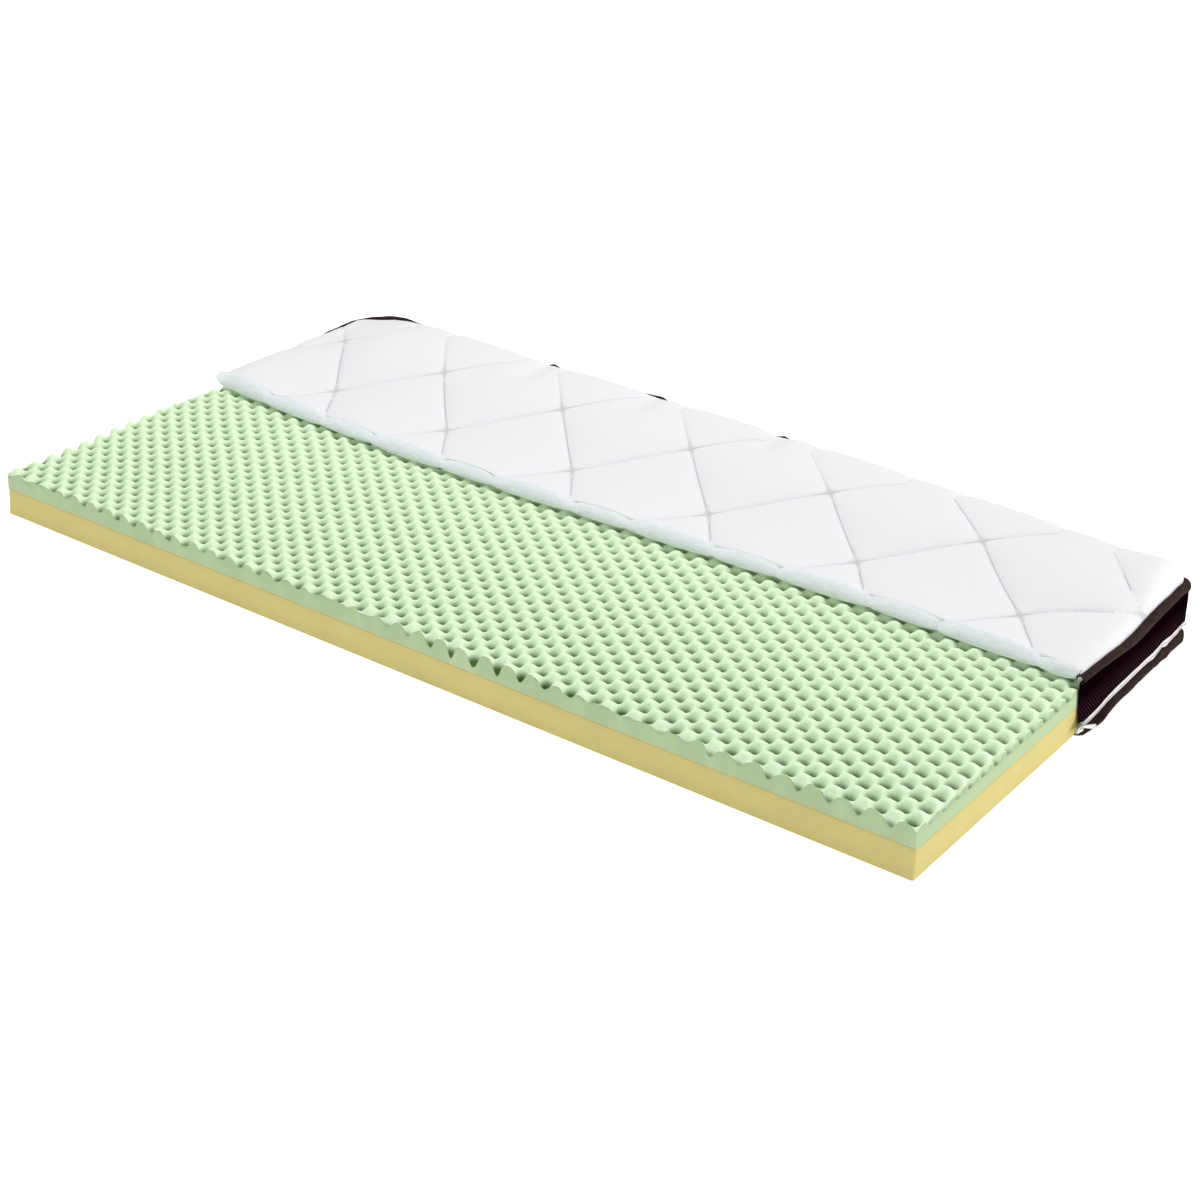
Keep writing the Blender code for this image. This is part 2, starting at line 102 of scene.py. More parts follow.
QUILT_X = 0.1603  # half a diamond's length
QUILT_AT = (-0.780, 0.189)  # a crossing of two stitch lines, in the front row of crossings
# Half a diamond's width before the front row, up to the second row, and up to the third: right and left.
QUILT_ROWS = ((0.220, 0.220), (0.165, 0.175), (0.134, 0.184))
QUILT_CELLS = 38  # cells of the mesh to half a diamond
QUILT_FROM, QUILT_TO = 0.45, 2.68  # the rows of the net that are drawn, where 1 is the front row of crossings
PUFF_FULLNESS = 0.38  # under 1, the diamonds are full and their seams narrow
STITCH_TOP = 0.110  # height of a stitch line near the cut
BACK_RISE = 0.056  # the cover stands up towards its back
BACK_DIPS = (-0.453, -0.165, 0.144)  # x where the quilted face dips at the back, and the tape shows over it
DIP_DEPTH = 0.009
DIP_WIDTH = 0.025
LEFT_SUNK = 0.80  # share of the rise that the emptier left end has lost
LEFT_LIFT = 0.010  # how much higher its stitch lines lie near the cut
PINCH_UNDER = 0.005  # the stitch lines lift the underside by this much at the cut
PINCH_FRONT = 0.006  # and draw the wadding back by this much
SEAM_DROP = 0.005  # the panel meets the tape this far below its upper edge
EDGE_ROUND = 0.042  # the width over which the panel's borders come down
EDGE_STEPS = (0.0, 0.002, 0.005, 0.010, 0.017, 0.026, 0.036)  # how far from the border it is drawn
EDGE_PLAIN = 0.045  # the net keeps this far away from the ends
KNIT_SETBACK = 0.021  # the wadding shows this far past the knit at the cut
TONGUE = 0.034  # the cut corner at the left end pokes out by this much
TONGUE_DROP = 0.012  # and hangs down by this much
# The wadding's cut face, which leans back: share of its height, share of the setback.
CUT_FACE = (
    (0.00, 0.16), (0.06, 0.03), (0.18, 0.00), (0.36, 0.06), (0.54, 0.20),
    (0.70, 0.38), (0.84, 0.58), (0.94, 0.80), (1.00, 1.00),
)
# The cut line of the quilted panel: x and y.
CUT_LINE = (
    (-1.035, 0.130), (-1.000, 0.095), (-0.900, 0.081), (-0.700, 0.066), (-0.450, 0.052), (-0.150, 0.051),
    (0.050, 0.055), (0.300, 0.059), (0.600, 0.065), (0.850, 0.058), (0.993, 0.051),
)
PANEL_THICK = 0.0015  # the plain bottom panel
PANEL_FRONT = 0.055  # its cut edge

# The border, followed from its cut end on the right, past the back, to its cut end on the left:
# metres along it, the zip's lower and upper edge, and how far the lower strip bulges.
ZIP_LINE = (
    (0.000, 0.0115, 0.0232, -0.002), (0.038, 0.0100, 0.0207, 0.005), (0.066, 0.0083, 0.0217, 0.009),
    (0.095, 0.0112, 0.0231, 0.010), (0.123, 0.0154, 0.0280, 0.007), (0.165, 0.0176, 0.0317, 0.003),
    (0.213, 0.0190, 0.0327, 0.003), (0.260, 0.0216, 0.0340, 0.001), (0.300, 0.0220, 0.0346, 0.001),
    (0.325, 0.0190, 0.0351, 0.000), (0.342, 0.0240, 0.0377, 0.001), (0.355, 0.0289, 0.0401, 0.000),
    (0.380, 0.0212, 0.0386, 0.002), (0.394, 0.0262, 0.0371, 0.000), (0.420, 0.0272, 0.0396, 0.000),
    (0.436, 0.0339, 0.0418, -0.001), (0.460, 0.0250, 0.0434, 0.000), (0.560, 0.0250, 0.0385, 0.001),
    (1.000, 0.0300, 0.0430, 0.002),
)
# Metres along the border, and the tape's lower and upper edge. At the back it stands up over the dips.
TAPE_LINE = (
    (0.000, 0.1060, 0.1200), (0.038, 0.1050, 0.1170), (0.066, 0.1035, 0.1160), (0.095, 0.1010, 0.1145),
    (0.123, 0.0990, 0.1130), (0.165, 0.0950, 0.1100), (0.213, 0.0915, 0.1110), (0.260, 0.0960, 0.1168),
    (0.300, 0.1005, 0.1215), (0.325, 0.1030, 0.1236), (0.342, 0.1045, 0.1238), (0.355, 0.1055, 0.1240),
    (0.380, 0.1060, 0.1236), (0.394, 0.1065, 0.1240), (0.420, 0.1085, 0.1270), (0.436, 0.1080, 0.1270),
    (0.460, 0.1070, 0.1262), (0.560, 0.1070, 0.1300), (1.000, 0.1100, 0.1440), (1.296, 0.1120, 0.1448),
    (1.326, 0.1120, 0.1535), (1.352, 0.1120, 0.1448), (1.600, 0.1120, 0.1450), (1.630, 0.1120, 0.1565),
    (1.690, 0.1120, 0.1530), (1.720, 0.1120, 0.1450), (1.890, 0.1120, 0.1450), (1.923, 0.1120, 0.1565),
    (1.950, 0.1120, 0.1450), (2.200, 0.1160, 0.1540), (2.300, 0.1180, 0.1525), (2.360, 0.1180, 0.1570),
    (2.400, 0.1160, 0.1530), (2.450, 0.1120, 0.1400), (2.480, 0.1060, 0.1315), (2.520, 0.1000, 0.1240),
    (2.590, 0.0960, 0.1190), (2.640, 0.0880, 0.1080), (2.930, 0.0860, 0.1050),
)
BORDER_STEP = 0.006  # distance between the sections of a border piece
CORNER_S = 0.462  # metres along the border to its right back corner

# The border's cloths, laid flat: how wide each was cut. Then how thick it is.
TAPE_WIDTH, TAPE_THICK = 0.047, 0.0011
BAND_WIDTH, BAND_THICK = 0.070, 0.0020
STRIP_WIDTH, STRIP_THICK = 0.034, 0.0012
ZIP_WIDTH, ZIP_THICK = 0.015, 0.0007  # of both zip tapes together

STITCH = 0.003  # length of a stitch on the tape
COIL_WIDTH = 0.0042  # of each half of the zip's coil
SLIDER_SIZE = (0.007, 0.024, 0.016)
SLIDER_Y = 0.048
PLATE_THICK = 0.0013
# Half of a plate's outline: share of the slider's length from its middle, share of its height.
PLATE_OUTLINE = (
    (-0.5, 0.26), (-0.38, 0.34), (-0.05, 0.38), (0.2, 0.5), (0.42, 0.5), (0.5, 0.38), (0.5, 0.16),
    (0.3, 0.10),
)
WEDGE_OUTLINE = ((-0.1, -0.1), (0.3, -0.16), (0.3, 0.16), (-0.1, 0.1))
BRIDGE = ((-0.42, 0.12), (-0.02, 0.44), (0.36, 0.12))  # share of the slider's length, share of its depth
PULL_SIZE = (0.0022, 0.054, 0.0080)
PULL_FROM = (1.0170, 0.0410, 0.0300)  # its end at the slider
PULL_TURN = (-0.38, 0.0, -0.08)  # it dips to the floor and stands off the border
PULL_HOLE = 0.0016  # radius

# The camera: place, heading from +X, dip below the horizon and roll, in metres and radians.
CAMERA_PLACE = (2.0751, -2.7612, 1.6751)
CAMERA_HEADING = 2.1977
CAMERA_DIP = 0.4632
CAMERA_ROLL = 0.0315
CAMERA_LENS = 61.5  # mm
CAMERA_SENSOR = 36.0  # mm
# The lights: place, and side of the soft box.
TOP_LIGHT = ((-0.6, 0.7, 5.0), 2.4)
SIDE_LIGHT = ((3.6, 1.2, 0.9), 1.4)
FLOOR_SIZE = 60.0
FLOOR_Z = -0.0005  # just under the part, so that the two don't share a face


def linear(hex_colour):
    """The shader's colour for an sRGB hex colour."""
    shares = [int(hex_colour[i : i + 2], 16) / 255 for i in (0, 2, 4)]
    return [c / 12.92 if c <= 0.04045 else ((c + 0.055) / 1.055) ** 2.4 for c in shares]


def size_prop(name, description, default):
    return FloatProperty(name=name, description=description, default=default, unit="LENGTH", precision=4)


def power_prop(name, description, default):
    return FloatProperty(name=name, description=description, default=default, unit="POWER")


def colour_prop(name, description, hex_colour):
    colour = linear(hex_colour)
    return FloatVectorProperty(name=name, description=description, default=colour, subtype="COLOR", max=1.0)


class TopperFoam(PropertyGroup):
    """The two foam layers."""

    pitch_x: size_prop("Bump pitch, long way", "Distance between two pits of one row", 0.0488)
    pitch_y: size_prop("Bump pitch, short way", "Distance between two pits of one column", 0.0433)
    valley: size_prop("Pit height", "Height of the bottom of a pit above the floor", 0.067)
    rounding: size_prop("Edge rounding", "Radius of the slab's long edges", 0.0015)
    corner: size_prop("Corner rounding", "Radius of the slab's upright edges", 0.0050)
    cell: size_prop("Foam cell", "Width of the foam's open cells as they are drawn", 0.0011)
    yellow: colour_prop("Slab", "Colour of the cold foam slab", "d6c885")
    green: colour_prop("Egg crate, cut", "Colour of the egg-crate foam where it is cut straight", "b4c9a0")
    green_top: colour_prop("Bumps", "Colour of the egg-crate foam's bumps", "e9ffdb")
    # Painted shade: the colour that the bumps darken to down in their pits.
    green_pit_shade: colour_prop("Pits", "Colour of the egg-crate foam in its pits", "56763a")


class TopperCover(PropertyGroup):
    """The quilted top panel and the plain bottom panel."""

    puff_rise: size_prop("Puff", "How far the middle of a diamond stands above its stitch lines", 0.016)
    stitch: size_prop("Stitch length", "Length of one quilting stitch", 0.0034)
    loop: size_prop("Knit course", "Distance between two courses of the knit as they are drawn", 0.0026)
    knit: colour_prop("Knit", "Colour of the knit face", "f4f4f7")
    wadding: colour_prop("Wadding", "Colour of the wadding where it is cut", "e8eff2")
    thread: colour_prop("Thread", "Colour of the quilting thread", "a9a9b2")
    panel: colour_prop("Bottom panel", "Colour of the plain bottom panel", "ebebee")


class TopperBorder(PropertyGroup):
    """The tape, the mesh band, the zip and the lower strip."""

    rib: size_prop("Mesh rib", "Distance between two ribs of the mesh band as they are drawn", 0.0030)
    tooth: size_prop("Coil pitch", "Distance between two turns of the zip's coil", 0.0021)
    tape: colour_prop("Tape", "Colour of the binding tape and the lower strip", "3d2e2c")
    mesh: colour_prop("Mesh band", "Colour of the mesh between its ribs", "0b0306")
    mesh_rib: colour_prop("Mesh ribs", "Colour of the ribs of the mesh band", "3a212b")
    zip: colour_prop("Zip tape", "Colour of the zip's tapes and coil", "fbf6f6")
    slider: colour_prop("Slider", "Colour of the slider and its pull", "dddbd6")


class TopperStage(PropertyGroup):
    """The floor and the light round the topper."""

    floor: colour_prop("Floor", "Colour of the floor", "ffffff")
    key: power_prop("Top light", "Power of the large light above", 170.0)
    side: power_prop("Side light", "Power of the light from the right", 34.0)
    sky: FloatProperty(
        name="Surround", description="Strength of the even light all round", default=0.35, min=0.0
    )


# The nodes of the materials: type, settings, the inputs that are set in this order, and the output.
LIMITS = ("Value", "From Min", "From Max", "To Min", "To Max")
WAVE = ("Vector", "Scale", "Distortion", "Detail")
NODES = {
    "object": ("TexCoord", {}, (), "Object"),
    "place": ("Mapping", {}, ("Vector", "Scale", "Rotation"), "Vector"),
    "height": ("SeparateXYZ", {}, ("Vector",), "Z"),
    "inside": ("Attribute", {"attribute_name": "inside"}, (), "Fac"),
    "crease": ("Attribute", {"attribute_name": "crease"}, (), "Fac"),
    "noise": ("TexNoise", {}, ("Vector", "Scale", "Detail"), "Fac"),
    "cells": ("TexVoronoi", {}, ("Vector", "Scale"), "Distance"),
    "ribs_x": ("TexWave", {"bands_direction": "X"}, WAVE, "Fac"),
    "ribs_y": ("TexWave", {"bands_direction": "Y"}, WAVE, "Fac"),
    "ribs_z": ("TexWave", {"bands_direction": "Z"}, WAVE, "Fac"),
    "ribs_slant": ("TexWave", {"bands_direction": "DIAGONAL"}, WAVE, "Fac"),
    "range": ("MapRange", {}, LIMITS, "Result"),
    "soft_range": ("MapRange", {"interpolation_type": "SMOOTHSTEP"}, LIMITS, "Result"),
    "add": ("Math", {"operation": "ADD"}, (0, 1), "Value"),
    "times": ("Math", {"operation": "MULTIPLY"}, (0, 1), "Value"),
    "mix": ("Mix", {"data_type": "RGBA"}, (0, 6, 7), 2),
    "bump": ("Bump", {}, ("Height", "Distance", "Strength"), "Normal"),
}
RIB = math.pi / 10  # distance between two ribs of a wave texture of scale 1
SAME = (1.0, 1.0, 1.0)  # not stretched


def add_node(tree, kind, *values):
    """Adds a node of the list above, sets each of its inputs or links it, and returns its output."""
    name, settings, keys, output = NODES[kind]
    node = tree.nodes.new("ShaderNode" + name)
    for setting, value in settings.items():
        setattr(node, setting, value)
    for key, value in zip(keys, values):
        if isinstance(value, bpy.types.NodeSocket):
            tree.links.new(value, node.inputs[key])
        else:
            node.inputs[key].default_value = value
    return node.outputs[output]


def new_material(name, roughness, **shader_inputs):
    """A non-metal, and the function that adds a node to it."""
    made = bpy.data.materials.new(name)
    made.use_nodes = True
    shader = made.node_tree.nodes["Principled BSDF"]
    shader.inputs["Roughness"].default_value = roughness
    for key, value in shader_inputs.items():
        shader.inputs[key.replace("_", " ")].default_value = value
    return made, partial(add_node, made.node_tree)


def finished(made, colour, height, depth, strength):
    """Gives the material its colour, and raises its surface by up to this depth in metres."""
    tree = made.node_tree
    shader = tree.nodes["Principled BSDF"]
    tree.links.new(colour, shader.inputs["Base Color"])
    tree.links.new(add_node(tree, "bump", height, depth, strength), shader.inputs["Normal"])
    return made


def opaque(colour, dim=1.0):
    return [channel * dim for channel in colour] + [1.0]


def cold_foam(name, colour, cell, bumps=None):
    """Polyurethane cold foam, cut with a blade: dead matt, with open cells that soften every edge.

    Real cells are about 0.5 mm wide, and are drawn twice as wide to show; their middles are darkened with
    painted shade. For the egg crate, bumps holds the heights over which the painted shade in its pits fades
    out towards its tips, and the colours of both.
    """
    made, node = new_material(name, 0.95, Specular_IOR_Level=0.2, IOR=1.45)
    spot = node("object")
    cloud = node("noise", spot, 1 / 0.09, 3.0)
    base = node("mix", node("range", cloud, 0.3, 0.7), opaque(colour, 0.95), opaque(colour))
    if bumps:
        low, high, pit_shade_colour, tip_colour = bumps
        # Painted shade: on the bumps the colour darkens with depth, down into each pit.
        share = node("soft_range", node("height", spot), low, high)
        base = node("mix", node("inside"), base, node("mix", share, opaque(pit_shade_colour), opaque(tip_colour)))
    pores = node("cells", spot, 1 / cell)
    # Painted shade: each open cell is darkened towards its middle.
    pore_shade = node("mix", node("range", pores, 0.0, 0.35, 0.10, 0.0), base, opaque(colour, 0.55))
    lumps = node("noise", spot, 1 / (4 * cell), 3.0)
    return finished(made, pore_shade, node("add", pores, lumps), 0.35 * cell, 0.5)


def jersey_knit(name, colour, course):
    """Double jersey, knitted from fine polyester: a soft matt face, with small crinkles and painted shade at
    the seams.

    Real courses are about 1.3 mm apart, and are drawn twice as far apart to show.
    """
    made, node = new_material(name, 0.88, Sheen_Weight=0.25, Sheen_Roughness=0.5, IOR=1.46)
    spot = node("object")
    turned = node("place", spot, SAME, (0, 0, 0.15))
    courses = node("ribs_y", turned, RIB / course, 1.2, 1.0)
    wales = node("ribs_x", turned, RIB / (0.8 * course), 1.2, 1.0)
    crease = node("crease")
    # The crinkles are 11 mm long and 5 mm wide, and lie across the seam's pull.
    crinkle = node("noise", node("place", spot, (1.0, 2.2, 1.0), (0, 0, 0.5)), 1 / 0.011, 4.0)
    puckers = node("times", crinkle, node("range", crease, 0.0, 1.0, 0.25, 1.5))
    knit = node("add", node("times", courses, wales), node("times", puckers, 4.0))
    # Painted shade: the knit darkens along the stitch lines, where the crease value is high.
    shade = node("mix", node("range", crease, 0.80, 1.0, 0.0, 0.75), opaque(colour), opaque(colour, 0.50))
    flecks = node("range", node("noise", spot, 1 / 0.004, 3.0), 0.35, 0.65, 0.0, 0.06)
    return finished(made, node("mix", flecks, shade, opaque(colour, 0.8)), knit, 0.00045, 0.55)


def polyester_wadding(name, colour):
    """Polyester wadding, carded and cut: soft, without gloss, its fibres lying along the panel.

    Light comes through it from above, and this is painted on as a faint glow. Its fibres are drawn as tufts
    of 4 mm.
    """
    # Painted light: a faint glow stands in for the light that passes through the wadding.
    glow = {"Emission_Color": opaque(colour), "Emission_Strength": 0.10}
    made, node = new_material(name, 1.0, Sheen_Weight=0.4, Sheen_Roughness=0.6, **glow)
    fibres = node("noise", node("place", node("object"), (0.35, 1.0, 1.6)), 1 / 0.004, 5.0)
    base = node("mix", node("range", fibres, 0.35, 0.7), opaque(colour, 0.92), opaque(colour, 1.04))
    return finished(made, base, fibres, 0.0012, 0.5)


def woven_tape(name, colour, rib=0.0014):
    """Polyester binding tape, woven with fine cross ribs and folded over: dull, a little lighter on folds.

    Real ribs are about 0.7 mm apart, and are drawn twice as far apart to show.
    """
    made, node = new_material(name, 0.85, Specular_IOR_Level=0.02)
    spot = node("object")
    across = node("ribs_x", node("place", spot, SAME, (0, 0, 0.77)), RIB / rib, 0.3, 1.0)
    weave = node("times", across, node("ribs_z", spot, RIB / (0.8 * rib), 0.3, 1.0))
    cloud = node("noise", node("place", spot, (1, 1, 3)), 1 / 0.02, 3.0)
    base = node("mix", node("range", cloud, 0.35, 0.7), opaque(colour, 0.75), opaque(colour, 1.35))
    base = node("mix", node("range", weave, 0.0, 1.0, 0.25, 0.0), base, opaque(colour, 0.45))
    return finished(made, base, node("add", weave, node("times", cloud, 3.0)), 0.0004, 0.6)


def spacer_mesh(name, colour, rib_colour, rib):
    """Spacer mesh, warp-knitted with slanting ribs: almost black, its holes still darker than the ribs.

    Real ribs are about 1.5 mm apart, and are drawn twice as far apart to show.
    """
    made, node = new_material(name, 0.85, Specular_IOR_Level=0.0)
    spot = node("object")
    # With y and z turned over, the ribs slant the same way along the right side and along the back.
    ribs = node("ribs_slant", node("place", spot, (1.0, -1.0, -1.0)), RIB / (1.4 * rib), 0.2, 1.0)
    rows = node("ribs_z", spot, RIB / (0.6 * rib))
    holes = node("times", ribs, node("range", rows, 0.0, 1.0, 0.7, 1.0))
    # Painted shade: the band darkens up towards the tape, which shades it, so its ribs show only lower down.
    clear_of_tape_shade = node("range", node("height", spot), 0.075, 0.045)
    lit = node("times", node("range", holes, 0.35, 0.85), clear_of_tape_shade)
    return finished(made, node("mix", lit, opaque(colour), opaque(rib_colour)), holes, 0.0006, 0.7)


def zip_weave(name, colour):
    """Zip tape, woven in a herringbone from bright polyester: a faint silky gloss.

    Real ribs are about 0.9 mm apart, and are drawn twice as far apart to show.
    """
    made, node = new_material(name, 0.6, Sheen_Weight=0.2, Sheen_Roughness=0.4)
    spot = node("place", node("object"), (1.0, -1.0, 1.0))
    weave = node("ribs_slant", spot, RIB / 0.0018, 0.2, 1.0)
    base = node("mix", node("range", weave, 0.0, 1.0, 0.0, 0.3), opaque(colour), opaque(colour, 0.88))
    return finished(made, base, weave, 0.0002, 0.5)


def spun_nylon(name, colour, roughness=0.45):
    """Nylon, drawn to a thread: smooth and faintly shiny, twisted every 1.2 mm."""
    made, node = new_material(name, roughness, IOR=1.53)
    twist = node("noise", node("object"), 1 / 0.0012, 2.0)
    base = node("mix", node("range", twist, 0.3, 0.7), opaque(colour, 0.88), opaque(colour))
    return finished(made, base, twist, 0.0001, 0.4)


def painted_zinc(name, colour):
    """Zinc, die-cast and stove-enamelled: hard gloss, orange peel of 1.6 mm and worn spots of 6 mm."""
    made, node = new_material(name, 0.32, IOR=1.5, Coat_Weight=0.4, Coat_Roughness=0.12)
    spot = node("object")
    worn = opaque(linear("b9b7b2"))
    wear = node("range", node("noise", spot, 1 / 0.006, 4.0), 0.58, 0.7, 0.0, 0.35)
    peel = node("noise", spot, 1 / 0.0016, 2.0)
    return finished(made, node("mix", wear, opaque(colour), worn), peel, 0.0001, 0.4)


def plain_weave(name, colour):
    """Plain polyester cloth, woven from flat yarn: matt, its yarns crossing at right angles.

    Real yarns are about 1.1 mm apart, and are drawn twice as far apart to show.
    """
    made, node = new_material(name, 0.85, Sheen_Weight=0.15)
    spot = node("object")
    scale = RIB / 0.0022
    yarns = node("times", node("ribs_x", spot, scale, 0.4, 1.0), node("ribs_y", spot, scale, 0.4, 1.0))
    base = node("mix", node("range", yarns, 0.0, 1.0, 0.2, 0.0), opaque(colour), opaque(colour, 0.7))
    return finished(made, base, yarns, 0.0003, 0.5)


def matt_paper(name, colour):
    """Background paper, rolled out: white and matt. It glows a little, as paper does under studio light."""
    white = opaque(colour)
    glow = {"Base_Color": white, "Emission_Color": white, "Emission_Strength": 0.70}
    return new_material(name, 0.9, Specular_IOR_Level=0.0, **glow)[0]


def add_object(name, data):
    piece = bpy.data.objects.new(name, data)
    bpy.context.scene.collection.objects.link(piece)
    return piece


def add_mesh(name, points, faces, looks, face_looks=None, smooth_below=45):
    """A mesh object, shaded smooth but for its sharp edges."""
    mesh = bpy.data.meshes.new(name)
    mesh.from_pydata([tuple(p) for p in points], [], faces)
    for look in looks:
        mesh.materials.append(look)
    if face_looks is not None:
        mesh.polygons.foreach_set("material_index", face_looks)
    mesh.shade_smooth()
    mesh.set_sharp_from_angle(angle=math.radians(smooth_below))
    mesh.update()
    return add_object(name, mesh)


def add_loft(name, rings, looks, ring_looks=None, closed=True, smooth_below=45):
    """Skins rings of equally many points, and caps closed ones at both ends.

    ring_looks gives the material of each cell round a ring. None leaves the cell open.
    """
    rings = np.asarray(rings, float)
    count, around = rings.shape[:2]
    ring_looks = ring_looks or [0] * around
    faces = []
    face_looks = []
    for i in range(count - 1):
        for k in range(around if closed else around - 1):
            if ring_looks[k] is not None:
                a, b = i * around + k, i * around + (k + 1) % around
                faces.append((a, b, b + around, a + around))
                face_looks.append(ring_looks[k])
    if closed:
        faces.append(tuple(reversed(range(around))))
        faces.append(tuple((count - 1) * around + k for k in range(around)))
        face_looks += [0, 0]
    return add_mesh(name, rings.reshape(-1, 3), faces, looks, face_looks, smooth_below)


def add_wire(name, kind, places, thick, look):
    """A round wire that is bent through these places."""
    curve = bpy.data.curves.new(name, "CURVE")
    curve.dimensions = "3D"
    curve.bevel_depth = thick / 2
    curve.bevel_resolution = 3 if kind == "BEZIER" else 2
    curve.use_fill_caps = True
    curve.materials.append(look)
    line = curve.splines.new(kind)
    points = line.bezier_points if kind == "BEZIER" else line.points
    points.add(len(places) - 1)
    for point, place in zip(points, places):
        if kind == "BEZIER":
            point.co = place
            point.handle_left_type = point.handle_right_type = "AUTO"
        else:
            point.co = (*place, 1.0)
    if kind == "NURBS":
        line.use_endpoint_u = True
        line.order_u = len(places)
    wire = add_object(name, curve)
    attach(wire, "root")


def thicken(piece, thick):
    """Gives a sheet this thickness, half of it on either side."""
    layer = piece.modifiers.new("thickness", "SOLIDIFY")
    layer.thickness = thick
    layer.offset = 0.0


def point_values(piece, name, values):
    """Keeps a number for each point of the mesh, which its material reads."""
    layer = piece.data.attributes.new(name, "FLOAT", "POINT")
    layer.data.foreach_set("value", np.asarray(values, np.float32).ravel())


def seat(piece, slot_name, *nodes):
    """The piece rides on the part's one body and stands for these CAD nodes; slot_name is not used."""
    shape = bmesh.new()
    shape.from_mesh(piece.data)
    bmesh.ops.recalc_face_normals(shape, faces=shape.faces)
    shape.to_mesh(piece.data)
    shape.free()
    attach(piece, "root")
    if nodes:
        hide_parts(*nodes)
    return piece


def ripple(x, y, z, size):
    """Smooth noise from -1 to 1 whose lumps have this size in metres."""
    return noise.noise(Vector((x, y, z)) / size)


def ease(share):
    """A step from 0 to 1 with level ends."""
    share = min(max(share, 0.0), 1.0)
    return share * share * (3 - 2 * share)


def hump(value, middle, width):
    """1 in the middle, falling off smoothly on both sides."""
    return math.exp(-(((value - middle) / width) ** 2))


def foam_height(x, y, foam):
    """The egg-crate's surface: pits on a lattice of staggered rows, with high saddles between them."""
    off = y - CRATE_MIDDLE
    u = (x - CRATE_PIT[0]) / foam.pitch_x
    v = (y - CRATE_PIT[1] - CRATE_TILT * (x - CRATE_PIT[0])) / foam.pitch_y
    # The foam lies a little crooked, so its rows bow and fan out by up to half a pitch.
    u += 0.38 + 0.5 * (x - x**3 / 2) - 0.8 * x**2 + (0.7 - 0.25 * x) * off
    v += 0.20 - 0.5 * (x - 1.25 * x**3) - 0.25 * x**2 + (0.25 + 0.5 * x) * off
    share = (1 - math.cos(2 * math.pi * u) * math.cos(2 * math.pi * v)) / 2
    z = foam.valley + (CRATE_HIGH.z - foam.valley) * (1 - (1 - share) ** CRATE_FULLNESS)
    # The right end was cut between two rows of pits.
    wall, slope = CRATE_END
    return max(z, wall - slope * max(RIGHT - x, 0.0))


def left_skew(x, y, z):
    """The foam's left end isn't cut square: it runs out towards the back, and towards the floor."""
    to_back = SKEW_BACK * ease((y + 0.42) / SKEW_OVER)
    to_floor = SKEW_FLOOR * (1 - z / CRATE_HIGH.z)
    return -(to_back + to_floor) * ease((SKEW_FROM - x) / SKEW_OVER)


def corner_inset(distance, radius):
    """How far a rounded edge lies inside its sharp one, at this distance from the corner."""
    left = radius - min(max(distance, 0.0), radius)
    return radius - math.sqrt(radius**2 - left**2)


def rounded_outline(corners, radius, spacing, steps=4):
    """Points along a closed outline in a plane, its right-angled corners rounded."""
    points = []
    corners = [Vector(corner) for corner in corners]
    for n, corner in enumerate(corners):
        before = corners[n - 1] - corner
        following = corners[(n + 1) % len(corners)]
        after = following - corner
        reach = min(radius, before.length / 2.2, after.length / 2.2)
        a, b = before.normalized(), after.normalized()
        centre = corner + (a + b) * reach
        for k in range(steps + 1):
            angle = math.pi / 2 * k / steps
            points.append(centre - b * reach * math.cos(angle) - a * reach * math.sin(angle))
        start, end = points[-1], following - b * reach
        pieces = max(int((end - start).length / spacing), 1)
        points += [start.lerp(end, k / pieces) for k in range(1, pieces)]
    return points


class TOPPER_OT_foam_slab(Operator):
    """Adds the yellow slab that carries the topper"""

    bl_idname = "topper.foam_slab"
    bl_label = "Foam slab"

    def execute(self, context):
        foam = context.scene.topper_foam
        step = PANEL_THICK + GAP
        panel_from = PANEL_FRONT - GAP
        ends = [foam.corner * (1 - math.cos(math.pi / 2 * k / 8)) for k in range(9)]
        middle = np.linspace(LEFT + foam.corner, RIGHT - foam.corner, 201)
        stations = [LEFT + e for e in ends] + list(middle[1:-1]) + [RIGHT - e for e in reversed(ends)]
        rings = []
        for x in stations:
            to_end = min(x - LEFT, RIGHT - x)
            side = corner_inset(to_end, foam.corner)
            low = corner_inset(to_end, foam.rounding)
            high = FOAM_HIGH.z - low
            front, back = FRONT + side, BACK - side
            lower = ((front, low), (panel_from, low), (panel_from, step + low), (back, step + low))
            ring = []
            for y, z in rounded_outline((*lower, (back, high), (front, high)), foam.rounding, 0.011):
                waver = SAW_WAVER * ripple(x, y, 3 * z, 0.06) if 0.005 < z < high - 0.003 else 0.0
                ring.append((x + left_skew(x, y, z), y + waver, z))
            rings.append(ring)
        look = cold_foam("cold_foam_yellow", foam.yellow, foam.cell)
        slab = seat(add_loft("foam_slab", rings, [look]), "foam_yellow", "foam_base")
        return {"FINISHED"}


